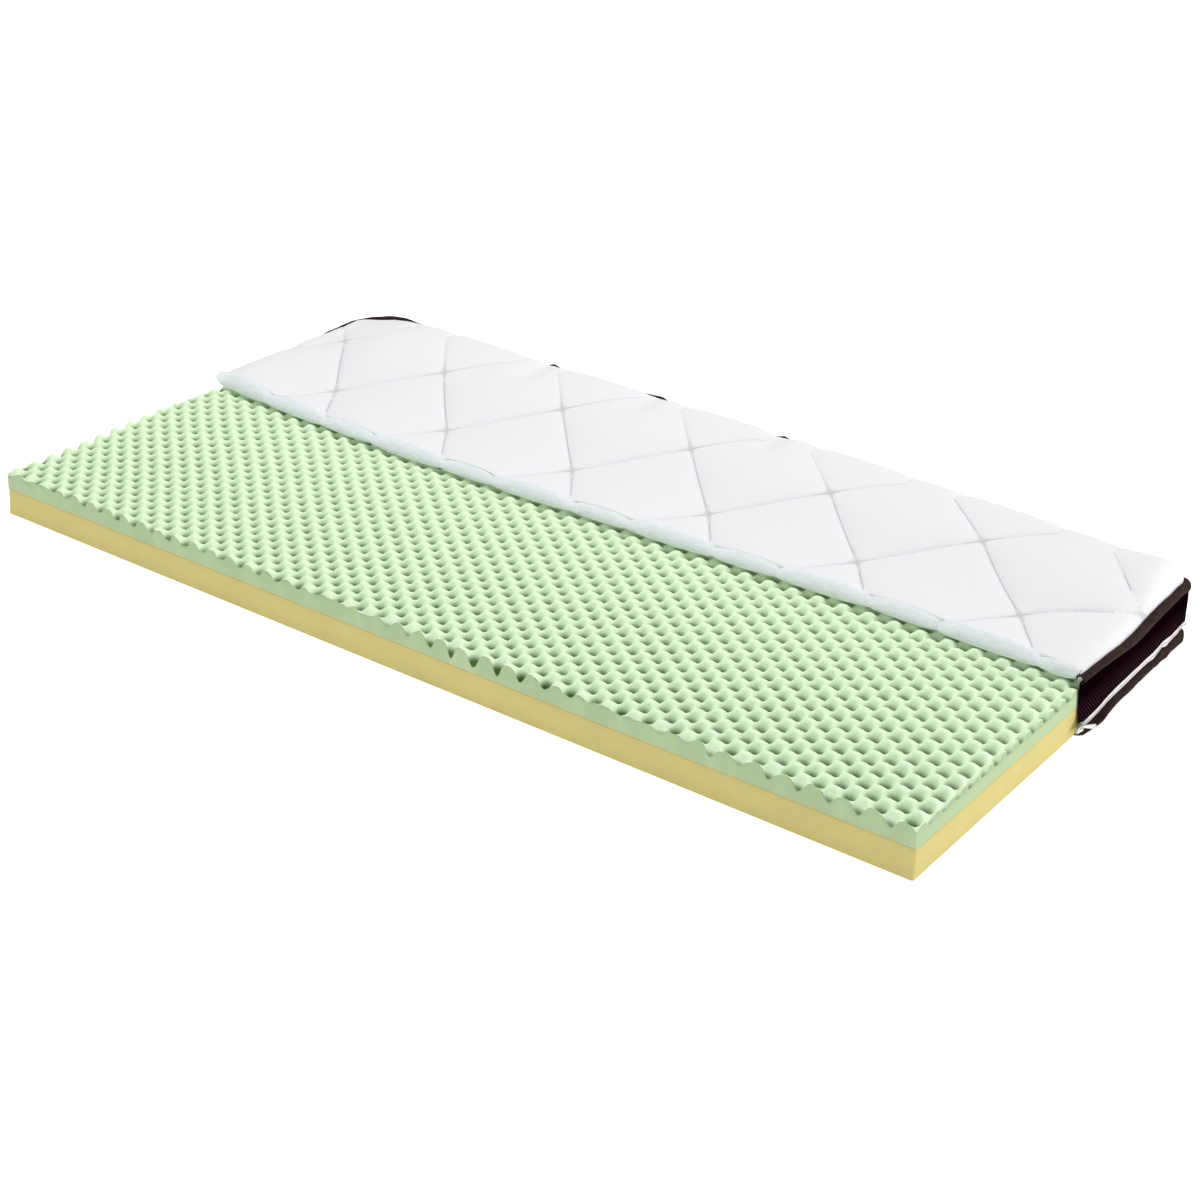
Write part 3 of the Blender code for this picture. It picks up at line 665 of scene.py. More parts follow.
def crate_section(x, rows, foam):
    """(points, how far inside the bumps each lies) of the egg-crate layer across the topper at x."""
    low = FOAM_HIGH.z + GAP
    front_y = FRONT + corner_inset(min(x - LEFT, RIGHT - x), CRATE_CORNER)
    # Towards the left the pits along the cut are half filled, and the walls between them curl over it.
    half_filled = CUT_FILL * ease((0.1 - x) / 0.4)
    curl = max(ripple(x, 7.0, 0.0, 0.021), 0.0)
    top = []
    for y in rows:
        y = max(y, front_y)
        z = CRATE_HIGH.z - 0.0005
        if y < CRATE_BUMPY_TO:
            rough = (0.0011 * ripple(x, y, 0.0, 0.035) - 0.0006) * ease((y - FRONT) / 0.02)
            z = foam_height(x, y, foam) + rough
        edge = max(1 - (y - FRONT) / CUT_EDGE, 0.0)
        fill = half_filled * max(1 - (y - FRONT) / CUT_FILL_WIDTH, 0.0)
        z = max(z, foam.valley + fill) + CUT_RAGGED * edge * ripple(x, 9.0, 0.0, 0.013)
        top.append((x, y - CUT_CURL * curl * edge, min(z, CRATE_HIGH.z - 0.0004 * curl * edge)))
    front_z, back_z = top[0][2] - 0.0008, top[-1][2]
    wall = (0.0, 0.33, 0.66, 0.9)
    front = [(x, top[0][1] * s + front_y * (1 - s) - 0.0004, low + (front_z - low) * s) for s in wall]
    back = [(x, BACK, low + (back_z - low) * s) for s in reversed(wall)]
    inside = [0.0] * (len(front) + 1) + [1.0] * (len(top) - 1) + [0.0] * len(back)
    return front + top + back, inside


class TOPPER_OT_foam_crate(Operator):
    """Adds the green egg-crate layer, cut with a wavy blade"""

    bl_idname = "topper.foam_crate"
    bl_label = "Egg-crate layer"

    def execute(self, context):
        foam = context.scene.topper_foam
        bumpy = list(np.linspace(FRONT + 0.0012, CRATE_BUMPY_TO, CRATE_ROWS))
        rows = [FRONT] + bumpy + list(np.linspace(CRATE_BUMPY_TO + 0.01, BACK, 5))
        ends = [0.0, 0.0004, 0.0012, 0.0024]
        middle = np.linspace(LEFT + 0.004, RIGHT - 0.004, CRATE_COLUMNS)
        rings = []
        inside = []
        for x in [LEFT + e for e in ends] + list(middle) + [RIGHT - e for e in reversed(ends)]:
            points, values = crate_section(x, rows, foam)
            if x in (LEFT, RIGHT):
                # The end's edge is broken a little, and belongs to the straight cut.
                points = [(x, y, z - 0.0008 if z > FOAM_HIGH.z + 0.004 else z) for x, y, z in points]
                values = [0.0] * len(values)
            rings.append([(x + left_skew(x, y, z), y, z) for x, y, z in points])
            inside.append(values)
        # Between these two heights the painted shade in the pits fades out.
        pit_shade_full_below, pit_shade_gone_above = (foam.valley + share * (CRATE_HIGH.z - foam.valley) for share in (0.28, 0.78))
        bumps = (pit_shade_full_below, pit_shade_gone_above, foam.green_pit_shade, foam.green_top)
        look = cold_foam("cold_foam_green", foam.green, foam.cell, bumps)
        crate = add_loft("foam_egg_crate", rings, [look], smooth_below=60)
        point_values(crate, "inside", inside)
        seat(crate, "foam_green", "foam_crate")
        return {"FINISHED"}


def cut_y(x):
    xs, ys = zip(*CUT_LINE)
    return float(np.interp(x, xs, ys)) + 0.0015 * ripple(x, 3.0, 0.0, 0.03)


def quilt_place(u, v):
    """Where the quilt's net, in half diamonds, lies on the cover. It is drawn in at the right end."""
    pull = hump(u, 11.0, 1.2) * hump(v, 2.0, 0.7)
    to_left = ease((9.0 - u) / 6.0)
    before, second, third = [right + (left - right) * to_left for right, left in QUILT_ROWS]
    y = QUILT_AT[1] + before * min(v - 1, 0.0) + second * min(max(v - 1, 0.0), 1.0)
    y += third * max(v - 2, 0.0) - 0.054 * pull
    y += 0.02 * ease((1.5 - u) / 2.5) * v * (1 - 0.7 * max(v - 2, 0.0))
    return QUILT_AT[0] + QUILT_X * u + 0.010 * pull, y


def quilt_puff(u, v):
    """0 on a stitch line, 1 in the middle of a diamond."""
    across = abs(math.sin(math.pi * (u + v - 1) / 2) * math.sin(math.pi * (u - v + 1) / 2))
    return across**PUFF_FULLNESS


def border_back(x):
    """y of the border's back side, before its corners are rounded."""
    return BORDER_BACK + BORDER_SKEW * (BORDER_RIGHT - x)


def drawn_in(x, y):
    """How far the top of the border is pulled forward here."""
    along_back = min(max((x - 0.2) / 0.7, 0.0), 1.0)
    return DRAWN_IN * along_back * ease((y - 0.33) / 0.12)


def back_y(x):
    """The back edge of the quilted panel, with its rounded corners."""
    to_end, radius = min((COVER_RIGHT - x, CORNER_RIGHT), (x - COVER_LEFT, CORNER_LEFT))
    return border_back(x) - 0.0040 - drawn_in(x, BORDER_BACK) - corner_inset(to_end, radius)


def along_border(x, y):
    """Roughly how far along the border its nearest point lies."""
    if COVER_RIGHT - x < back_y(x) - y and x > 0:
        return y - BORDER_CUT_RIGHT
    if x - COVER_LEFT < back_y(x) - y and x < 0:
        return 2.50 + border_back(x) - y
    return 0.47 + BORDER_RIGHT - x


BORDER_HEIGHTS = []
for table in (ZIP_LINE, TAPE_LINE):
    stops, *columns = (np.array(column) for column in zip(*table))
    BORDER_HEIGHTS += [(stops, column) for column in columns]


def border_at(s):
    """zip_low, zip_high, bulge, tape_low, tape_high at this distance along the border."""
    return [float(np.interp(s, stops, column)) for stops, column in BORDER_HEIGHTS]


def to_border(x, y):
    return min(COVER_RIGHT - x, x - COVER_LEFT, back_y(x) - y)


def cut_tip(x, y):
    """1 at the cut corner at the left end, which hangs down a little past the border, and 0 away from it."""
    return ease((-x - 0.97) / 0.06) * ease((0.19 - y) / 0.06)


def cover_top_z(x, y, puff, rise):
    """The quilted face: puffs on a slope that rises to the back, coming down to the tape at the border."""
    seam = border_at(along_border(x, y))[4] - SEAM_DROP
    left = ease((-x - 0.80) / 0.20)
    crown = STITCH_TOP + BACK_RISE * ease((y - 0.15) / 0.35) * (1 - LEFT_SUNK * left) + LEFT_LIFT * left
    crown += rise * (1 - 0.4 * ease((y - 0.30) / 0.14)) * puff
    crown += 0.002 * hump(x, -0.80, 0.14) * hump(y, 0.52, 0.12) - TONGUE_DROP * cut_tip(x, y)
    crown -= DIP_DEPTH * sum(hump(x, middle, DIP_WIDTH) for middle in BACK_DIPS) * ease((y - 0.38) / 0.08)
    share = min(max(to_border(x, y) / EDGE_ROUND, 0.0), 1.0)
    return seam + (crown - seam) * math.sqrt(1 - (1 - share) ** 2)


def cover_under_z(x, y, puff):
    """The side that rests on the bumps: it rises at the stitch lines near the cut, and to the tape."""
    near_cut = ease(1 - (y - cut_y(x)) / 0.06)
    tape_low = border_at(along_border(x, y))[3]
    at_tape = ease(1 - to_border(x, y) / 0.04)
    lift = PINCH_UNDER * (1 - puff) * near_cut + max(tape_low - 0.0972, 0) * at_tape
    return CRATE_HIGH.z + GAP + lift


def held_x(x, i, first, last):
    """x of a point of cross-section i: the outer cross-sections keep set distances from the border."""
    if i - first < len(EDGE_STEPS):
        return COVER_LEFT + EDGE_STEPS[i - first]
    if last - i < len(EDGE_STEPS):
        return COVER_RIGHT - EDGE_STEPS[last - i]
    return min(max(x, COVER_LEFT + EDGE_PLAIN), COVER_RIGHT - EDGE_PLAIN)


def cover_section(i, first, last, rise):
    """(points, crease) of one cross-section of the quilted panel, and how many points its parts have."""
    u = i / QUILT_CELLS
    rows = [k / QUILT_CELLS for k in range(round(QUILT_FROM * QUILT_CELLS), round(QUILT_TO * QUILT_CELLS))]
    cut_x = held_x(quilt_place(u, 0.4)[0], i, first, last)
    cut_u = (cut_x - QUILT_AT[0]) / QUILT_X
    puff = quilt_puff(cut_u, 1 + (cut_y(cut_x) - QUILT_AT[1]) / QUILT_ROWS[0][0])
    front = cut_y(cut_x) + PINCH_FRONT * (1 - puff) ** 2
    # Towards the tape the knit reaches over the wadding.
    setback = KNIT_SETBACK * (0.55 + 0.45 * puff) * (1 - 0.7 * ease((cut_x - 0.90) / 0.09))
    knit_from = front + setback
    top = []
    crease = []
    for n, v in enumerate(rows):
        net_x, y = quilt_place(u, v)
        x = held_x(net_x, i, first, last)
        # Rows that would lie past an end of the panel wait there, about a millimetre apart.
        y_high = back_y(x) - EDGE_STEPS[-1] - 0.0012 * (len(rows) - n)
        y = min(max(y, knit_from + 0.0008 + 0.0011 * n), y_high)
        local = quilt_puff(u + (x - net_x) / QUILT_X, v)
        z = cover_top_z(x, y, local, rise) + 0.0006 * local * ripple(x, y, 0.0, 0.03)
        top.append((x - TONGUE / 2 * cut_tip(x, y), y, z))
        # The crease value puckers the knit and darkens it with painted shade along the stitch lines.
        crease.append((1 - local) * (0.3 + 0.7 * ease((y - knit_from) / 0.025)))
    for step in reversed(EDGE_STEPS):
        y = back_y(x) - step
        top.append((x - TONGUE * cut_tip(x, y), y, cover_top_z(x, y, local, rise)))
        crease.append(0.3)
    low = cover_under_z(cut_x, front, quilt_puff(cut_u, 0.4))
    edge_z = cover_top_z(cut_x, knit_from, puff, rise) - 0.0003
    face = []
    for share, reach in CUT_FACE:
        soft = 0.0014 * ripple(cut_x, 2 * share, 5.0, 0.016) * math.sin(math.pi * share)
        y = front + reach * setback + soft
        face.append((cut_x - TONGUE * cut_tip(cut_x, y), y, low + (edge_z - low) * share))
    under = [(x, back_y(x), cover_under_z(x, back_y(x), 1.0))]
    for inwards, fullness in ((0.25, 1.0), (0.06, 1.0), (0.03, puff)):
        y = front + inwards
        under.append((cut_x - TONGUE * cut_tip(cut_x, y), y, cover_under_z(cut_x, y, fullness)))
    creases = [0.0] * (len(under) + len(face)) + crease
    return under + face + top, creases, (len(under), len(face))


class TOPPER_OT_quilted_cover(Operator):
    """Adds the quilted panel: a knit face stitched to wadding, cut through along its front"""

    bl_idname = "topper.quilted_cover"
    bl_label = "Quilted cover"

    def execute(self, context):
        cover = context.scene.topper_cover
        first = math.floor((COVER_LEFT - QUILT_AT[0]) / QUILT_X * QUILT_CELLS) - 1
        last = math.ceil((COVER_RIGHT - QUILT_AT[0]) / QUILT_X * QUILT_CELLS) + 1
        sections = [cover_section(i, first, last, cover.puff_rise) for i in range(first, last + 1)]
        under, face = sections[0][2]
        wadding_cells = under + face - 1
        knit_cells = len(sections[0][0]) - wadding_cells - 1
        looks = [0] * wadding_cells + [1] * knit_cells + [0]
        wadding = polyester_wadding("polyester_wadding", cover.wadding)
        knit = jersey_knit("jersey_knit_white", cover.knit, cover.loop)
        piece = add_loft("quilted_cover", [s[0] for s in sections], [wadding, knit], looks)
        point_values(piece, "crease", [s[1] for s in sections])
        seat(piece, "knit_white", "cover_top")
        return {"FINISHED"}


def stitch_shape(sides=6):
    """One stitch, 1 long and 1 thick, lying along X: (points, faces)."""
    points = [(-0.5, 0.0, -0.45)]
    for x, thick in ((-0.36, 0.36), (0.0, 0.5), (0.36, 0.36)):
        for k in range(sides):
            angle = 2 * math.pi * k / sides
            points.append((x, thick * math.cos(angle), thick * math.sin(angle)))
    points.append((0.5, 0.0, -0.45))
    faces = []
    for k in range(sides):
        after = (k + 1) % sides
        faces.append((0, 1 + after, 1 + k))
        for ring in range(2):
            a = 1 + ring * sides
            faces.append((a + k, a + after, a + sides + after, a + sides + k))
        faces.append((1 + 2 * sides + k, 1 + 2 * sides + after, 1 + 3 * sides))
    return np.array(points), faces


def add_stitches(name, places, length, thick, look, slot_name):
    """Stitches of this size, one at each place: (middle, direction along, direction out)."""
    base, base_faces = stitch_shape()
    points = []
    faces = []
    for n, (middle, along, out) in enumerate(places):
        along = Vector(along).normalized()
        across = Vector(out).cross(along).normalized()
        up = along.cross(across)
        turn = np.array([along * length, across * thick, up * thick])
        points.append(base @ turn + np.array(middle))
        faces += [tuple(k + n * len(base) for k in face) for face in base_faces]
    seat(add_mesh(name, np.concatenate(points), faces, [look], smooth_below=80), slot_name)


def stitch_line(points, length, pitch):
    """Places along a line of points, each pitch apart: the line's middle and direction there."""
    points = np.asarray(points)
    steps = np.linalg.norm(np.diff(points, axis=0), axis=1)
    along = np.concatenate([[0.0], np.cumsum(steps)])
    found = []
    for s in np.arange(length, along[-1] - length, pitch):
        ends = (s - length / 2, s + length / 2)
        a, b = (np.array([np.interp(end, along, column) for column in points.T]) for end in ends)
        found.append(((a + b) / 2, b - a))
    return found


class TOPPER_OT_quilt_thread(Operator):
    """Adds the thread of the quilting, stitch by stitch along the diamonds"""

    bl_idname = "topper.quilt_thread"
    bl_label = "Quilting thread"

    def execute(self, context):
        cover = context.scene.topper_cover
        margin = 0.012  # the stitch lines end this far from the panel's edges
        places = []
        for odd in range(-9, 19, 2):
            for side in (1, -1):
                line = []
                for v in np.linspace(0.3, 2.75, 110):
                    x, y = quilt_place(odd + side * (v - 1), v)
                    inside = COVER_LEFT + margin < x < COVER_RIGHT - margin and y < back_y(x) - margin
                    if inside and y > cut_y(x) + KNIT_SETBACK + margin:
                        line.append((x, y, cover_top_z(x, y, 0.0, cover.puff_rise) + 0.0004))
                if len(line) > 3:
                    found = stitch_line(line, cover.stitch, cover.stitch * 1.25)
                    places += [(middle, along, (0, 0, 1)) for middle, along in found]
        look = spun_nylon("spun_thread_white", cover.thread, 0.6)
        add_stitches("quilt_thread", places, cover.stitch, 0.0011, look, "knit_white")
        return {"FINISHED"}


def border_line():
    """Points round the border: x, y, outward normal, metres along."""
    back = math.pi / 2 - math.atan(BORDER_SKEW)
    slant = math.cos(math.atan(BORDER_SKEW))
    centres = []
    for x, radius in ((BORDER_RIGHT - CORNER_RIGHT, CORNER_RIGHT), (BORDER_LEFT + CORNER_LEFT, CORNER_LEFT)):
        centres.append((x, border_back(x) - radius / slant, radius))
    right, left = centres
    line = []

    def straight(end, angle):
        start = line.pop()[:2]
        pieces = max(round(math.dist(start, end) / BORDER_STEP), 1)
        for k in range(pieces):
            share = k / pieces
            x, y = (a + (b - a) * share for a, b in zip(start, end))
            line.append((x, y, angle))

    def bend(corner, start, end, pieces):
        x, y, radius = corner
        for k in range(pieces + 1):
            angle = start + (end - start) * k / pieces
            line.append((x + radius * math.cos(angle), y + radius * math.sin(angle), angle))

    line.append((BORDER_RIGHT, BORDER_CUT_RIGHT))
    straight((BORDER_RIGHT, right[1]), 0.0)
    bend(right, 0.0, back, 7)
    straight((left[0] + left[2] * math.cos(back), left[1] + left[2] * math.sin(back)), back)
    bend(left, back, math.pi, 10)
    straight((BORDER_LEFT, BORDER_CUT_LEFT), math.pi)
    line.append((BORDER_LEFT, BORDER_CUT_LEFT, math.pi))
    stations = []
    along = 0.0
    for n, (x, y, angle) in enumerate(line):
        if n:
            along += math.dist((x, y), line[n - 1][:2])
        stations.append((x, y, angle, along))
    return stations


BORDER_LINE = border_line()
BORDER_LENGTH = BORDER_LINE[-1][3]


def border_point(x, y, angle, s, out, z):
    """The place that is this far out from the border's line, at this height."""
    shift = -drawn_in(x, y) * ease((z - DRAWN_FROM) / 0.008)
    at_cut = max(1 - min(s, BORDER_LENGTH - s) / 0.03, 0.0)
    shift += BORDER_CUT_LEAN * max(1 - z / BORDER_HEIGHT, 0.0) * at_cut
    # Below the tape the right corner stands out.
    out += 0.001 * hump(s, CORNER_S, 0.025) * ease((0.105 - z) / 0.02)
    return (x + math.cos(angle) * out, y + math.sin(angle) * out + shift, z)


def add_swept_sheet(name, section, look, thick, slot_name, node, ring_looks=None):
    """A sheet along the border, this thick: section(s) gives its (outwards, height) points."""
    rings = []
    for x, y, angle, s in BORDER_LINE:
        rings.append([border_point(x, y, angle, s, out, z) for out, z in section(s)])
    piece = add_loft(name, rings, [look], ring_looks, closed=False)
    thicken(piece, thick)
    return seat(piece, slot_name, node)


def tape_section(s):
    """The binding tape, folded over the top seam and rolled outwards."""
    low, high = border_at(s)[3:]
    corner = hump(s, CORNER_S, 0.014)
    high += 0.0007 * ripple(s, 2.0, 1.0, 0.022) + 0.001 * corner
    low += 0.0008 * ripple(s, 4.0, 1.0, 0.018)
    out = 0.0008 * ripple(s, 0.0, 1.0, 0.030) + 0.003 * corner
    middle = (low + high) / 2
    # At its cut end the inner leg is frayed and stands up.
    lift = 0.006 * ease(1 - s / 0.014) * (0.6 + 0.4 * math.sin(s * 1600))
    return (
        (-0.0050, high - 0.0075),
        (-0.0038, high - 0.0036 + lift),
        (-0.0014, high - 0.0010 + lift),
        (0.0014 + 0.5 * out, high + lift * 0.6),
        (0.0046 + out, high - 0.0010),
        (0.0072 + out, high - 0.0036),
        (0.0088 + out, middle + 0.0026),
        (0.0093 + out, middle - 0.0016),
        (0.0084 + out, low + 0.0042),
        (0.0064 + 0.7 * out, low + 0.0014),
        (0.0040, low + 0.0002),
        (0.0012, low + 0.0008),
    )


class TOPPER_OT_binding(Operator):
    """Adds the brown tape that binds the quilted panel to the border, with its stitching"""

    bl_idname = "topper.binding"
    bl_label = "Binding tape"

    def execute(self, context):
        border = context.scene.topper_border
        look = woven_tape("woven_tape_brown", border.tape)
        tape = add_swept_sheet("binding_tape", tape_section, look, TAPE_THICK, "tape_brown", "binding_top")
        line = []
        outs = []
        for x, y, angle, s in BORDER_LINE[3:]:
            out, z = tape_section(s)[9]
            line.append(border_point(x, y, angle, s, out + 0.0008, z + 0.0006))
            outs.append((math.cos(angle), math.sin(angle)))
        places = []
        for middle, along in stitch_line(line, STITCH, 1.4 * STITCH):
            near = min(range(0, len(line), 2), key=lambda k: math.dist(line[k][:2], middle[:2]))
            places.append((middle, along, (*outs[near], -0.3)))
        thread = spun_nylon("spun_thread_brown", [c * 1.6 for c in border.tape], 0.5)
        add_stitches("binding_thread", places, STITCH, 0.0006, thread, "tape_brown")
        self.add_frayed_end(border)
        return {"FINISHED"}

    def add_frayed_end(self, border):
        """The few loose threads at the tape's cut end."""
        start = Vector((BORDER_RIGHT - 0.002, BORDER_CUT_RIGHT, border_at(0.0)[4]))
        brown = spun_nylon("loose_thread_brown", [c * 1.3 for c in border.tape], 0.7)
        white = spun_nylon("loose_thread_white", linear("e8e4e2"), 0.6)
        # Each thread: along the border, outwards and up at its tip, how far it curls, and how thick it is.
        threads = (
            (0.004, 0.003, 0.011, 0.003, 0.0009, brown),
            (-0.004, 0.001, 0.006, -0.002, 0.0008, brown),
            (-0.009, -0.003, -0.002, 0.004, 0.0009, brown),
            (-0.006, 0.004, -0.006, 0.003, 0.0007, white),
            (0.001, 0.006, -0.007, 0.002, 0.0006, white),
            (-0.005, 0.006, 0.001, -0.003, 0.0005, brown),
        )
        for n, (along, out, up, curl, thick, thread) in enumerate(threads):
            places = []
            for share in (0, 1 / 3, 2 / 3, 1):
                bend = curl * math.sin(math.pi * share)
                tip = (out * share, along * share + bend, up * share + abs(bend) * 0.5)
                places.append(start + Vector(tip))
            add_wire(f"tape_fray_{n}", "NURBS", places, thick, thread)


def band_section(s):
    """The mesh band, sucked in under the tape and standing out at the zip."""
    low = border_at(s)[1] + GAP
    high = border_at(s)[3] - GAP
    sway = 0.0012 * ripple(s, 0.0, 6.0, 0.07)
    points = []
    for share in np.linspace(0.0, 1.0, 13):
        hollow = math.sin(math.pi * share) * (0.0008 + sway)
        out = 0.0034 - 0.0014 * share - hollow + 0.0004 * ripple(s, share, 9.0, 0.02)
        points.append((out, low + (high - low) * share))
    return points


class TOPPER_OT_mesh_band(Operator):
    """Adds the dark mesh band between the tape and the zip"""

    bl_idname = "topper.mesh_band"
    bl_label = "Mesh band"

    def execute(self, context):
        border = context.scene.topper_border
        look = spacer_mesh("spacer_mesh_dark", border.mesh, border.mesh_rib, border.rib)
        band = add_swept_sheet("mesh_band", band_section, look, BAND_THICK, "mesh_brown", "border_band")
        return {"FINISHED"}


def strip_section(s):
    """The lower strip, gathered a little at the zip and turned under at the floor."""
    zip_low, _, bulge = border_at(s)[:3]
    high = zip_low - GAP
    bulge = max(bulge + 0.0009 * ripple(s, 0.0, 12.0, 0.035), -0.0025)
    return (
        (0.0026, 0.0016),
        (0.0034, 0.0006),
        (0.0042 + 0.8 * bulge, 0.0006),
        (0.0058 + bulge, 0.0018),
        (0.0066 + bulge, 0.0045),
        (0.0068 + bulge, 0.35 * high),
        (0.0062 + bulge, 0.55 * high),
        (0.0048 + 0.6 * bulge, 0.78 * high),
        (0.0018 + 0.2 * bulge, 0.92 * high),
        (-0.0006, high),
    )


class TOPPER_OT_lower_strip(Operator):
    """Adds the soft strip between the zip and the floor"""

    bl_idname = "topper.lower_strip"
    bl_label = "Lower strip"

    def execute(self, context):
        border = context.scene.topper_border
        look = woven_tape("woven_strip_brown", [c * 0.9 for c in border.tape], 0.0018)
        finish, node = "tape_brown", "border_strip"
        strip = add_swept_sheet("lower_strip", strip_section, look, STRIP_THICK, finish, node)
        return {"FINISHED"}


def zip_half(s, upper):
    """One of the zip's two tapes, from its outer edge to the coil."""
    low, high = border_at(s)[:2]
    middle = (low + high) / 2
    sway = 0.0007 * ripple(s, 0.0, 15.0, 0.03)
    # Towards the cut end the two halves have parted.
    fork = 0.0085 * ease((0.020 - s) / 0.020)
    edge, away = (high, fork) if upper else (low, -fork * 0.6)
    points = []
    for share in (0.0, 0.35, 0.7, 1.0):
        out = 0.0030 + 0.0022 * share + sway * share
        points.append((out, edge + (middle - edge) * share * 0.94 + away * (0.35 + 0.65 * share)))
    return points


def zip_section(s):
    """Both tapes of the zip, from the lower edge to the upper one."""
    return zip_half(s, False) + list(reversed(zip_half(s, True)))


class TOPPER_OT_zip(Operator):
    """Adds the white zip: two tapes, their coil, the slider and its pull"""

    bl_idname = "topper.zip"
    bl_label = "Zip"

    def execute(self, context):
        border = context.scene.topper_border
        weave = zip_weave("zip_weave_white", border.zip)
        # The cell between the two tapes stays open.
        cells = [0, 0, 0, None, 0, 0, 0]
        tapes = add_swept_sheet("zip_tapes", zip_section, weave, ZIP_THICK, "zip_white", "zip_chain", cells)
        self.add_coil(border)
        enamel = painted_zinc("enamelled_zinc_white", border.slider)
        self.add_slider(enamel)
        self.add_pull(enamel)
        return {"FINISHED"}

    def add_coil(self, border):
        """The nylon coil: one turn after another, in a row on each tape."""
        look = spun_nylon("drawn_nylon_white", border.zip)
        for name, upper in (("zip_coil_upper", True), ("zip_coil_lower", False)):
            overlap = -0.0004 if upper else 0.0004
            line = []
            turns = []
            for x, y, angle, s in BORDER_LINE:
                out, z = zip_half(s, upper)[3]
                place = border_point(x, y, angle, s, out + 0.0009, z)
                line.append((*place, math.cos(angle), math.sin(angle)))
            for (x, y, z, out_x, out_y), _ in stitch_line(line, border.tooth, border.tooth):
                turns.append(((x, y, z + overlap), (out_x * 0.2, out_y * 0.2, 1.0), (out_x, out_y, 0.0)))
            add_stitches(name, turns, COIL_WIDTH, 0.0013, look, "zip_white")

    def add_slider(self, enamel):
        """The slider: two plates held apart by a wedge, and a bridge for the pull."""
        low, high = border_at(0.0)[:2]
        depth, length, height = SLIDER_SIZE
        centre = Vector((BORDER_RIGHT + 0.0066 + depth / 2, SLIDER_Y, (low + high) / 2 + 0.004))
        half = [(a * length, b * height) for a, b in PLATE_OUTLINE]
        plate = half + [(a, -b) for a, b in reversed(half)]
        wedge = [(a * length, b * height) for a, b in WEDGE_OUTLINE]
        # Each piece: its outline, its thickness, and its place as a share of the depth.
        shapes = {
            "slider_back_plate": (plate, PLATE_THICK, -0.34),
            "slider_front_plate": (plate, PLATE_THICK, 0.10),
            "slider_wedge": (wedge, 0.30 * depth, -0.12),
        }
        for name, (outline, thick, out) in shapes.items():
            place = centre + Vector((out * depth, 0, 0))
            self.add_flat(name, outline, thick, place, enamel)
        arch = [centre + Vector((out * depth, along * length, 0.0)) for along, out in BRIDGE]
        add_wire("slider_bridge", "BEZIER", arch, 0.0018, enamel)
        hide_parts("zip_slider")

    def add_flat(self, name, outline, thick, centre, look):
        """A plate in the plane of the border, its edges rounded: outline gives (y, z) from its middle."""
        mesh = bpy.data.meshes.new(name)
        shape = bmesh.new()
        face = shape.faces.new([shape.verts.new((-thick / 2, y, z)) for y, z in outline])
        for item in bmesh.ops.extrude_face_region(shape, geom=[face])["geom"]:
            if isinstance(item, bmesh.types.BMVert):
                item.co.x += thick
        shape.to_mesh(mesh)
        shape.free()
        mesh.materials.append(look)
        mesh.shade_smooth()
        piece = add_object(name, mesh)
        piece.location = centre
        edges = piece.modifiers.new("rounding", "BEVEL")
        edges.width = min(0.0004, thick * 0.3)
        edges.segments = 3
        edges.harden_normals = True
        return seat(piece, "slider_white")

    def add_pull(self, enamel):
        """The flat pull: a blade that tapers towards the slider, with a round hole near its far end."""
        thick, length, half = PULL_SIZE[0], PULL_SIZE[1], PULL_SIZE[2] / 2
        side = [(-length / 2, 0.30 * half), (-0.30 * length, 0.62 * half), (0.25 * length, half)]
        outline = [(y, -z) for y, z in side]
        for k in range(9):
            angle = -math.pi / 2 + math.pi * k / 8
            outline.append((length / 2 - half + half * math.cos(angle), half * math.sin(angle)))
        outline += reversed(side)
        turn = Euler(PULL_TURN).to_matrix()
        centre = Vector(PULL_FROM) + turn @ Vector((0.0, length / 2, 0.0))
        pull = self.add_flat("slider_pull", outline, thick, centre, enamel)
        cutter = bpy.data.meshes.new("pull_hole")
        shape = bmesh.new()
        place = Matrix.Translation((0.0, length / 2 - 0.0050, 0.0)) @ Matrix.Rotation(math.pi / 2, 4, "Y")
        size = {"radius1": PULL_HOLE, "radius2": PULL_HOLE, "depth": 0.02}
        bmesh.ops.create_cone(shape, cap_ends=True, segments=24, matrix=place, **size)
        shape.to_mesh(cutter)
        shape.free()
        hole = add_object("pull_hole", cutter)
        hole.location = centre
        hole.rotation_euler = pull.rotation_euler = PULL_TURN
        hole.hide_render = True
        hole.display_type = "WIRE"
        cut = pull.modifiers.new("hole", "BOOLEAN")
        cut.object = hole
        cut.solver = "EXACT"
        pull.modifiers.move(1, 0)
        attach(hole, "root")
        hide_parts("zip_pull")
        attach(pull, "root")


class TOPPER_OT_bottom_panel(Operator):
    """Adds the plain panel on the floor, with its raw cut edge"""

    bl_idname = "topper.bottom_panel"
    bl_label = "Bottom panel"

    def execute(self, context):
        cover = context.scene.topper_cover
        out = 0.0023  # it reaches this far under the lower strip
        rows = []
        for x in np.linspace(BORDER_LEFT, BORDER_RIGHT, 180):
            radius = CORNER_LEFT if x < 0 else CORNER_RIGHT
            far = border_back(x) + out - corner_inset(min(x - BORDER_LEFT, BORDER_RIGHT - x), radius)
            near = PANEL_FRONT + (BORDER_CUT_LEFT + BORDER_CUT_LEAN - PANEL_FRONT) * ease((-0.97 - x) / 0.07)
            near += 0.0008 * ripple(x, 20.0, 0.0, 0.012)
            reach = out * (2 * (x - BORDER_LEFT) / (BORDER_RIGHT - BORDER_LEFT) - 1)
            rows.append([(x + reach, near + (far - near) * k / 24, PANEL_THICK / 2) for k in range(25)])
        look = plain_weave("plain_weave_white", cover.panel)
        panel = add_loft("bottom_panel", rows, [look], closed=False)
        thicken(panel, PANEL_THICK * 0.9)
        seat(panel, "panel_white", "cover_bottom")
        return {"FINISHED"}


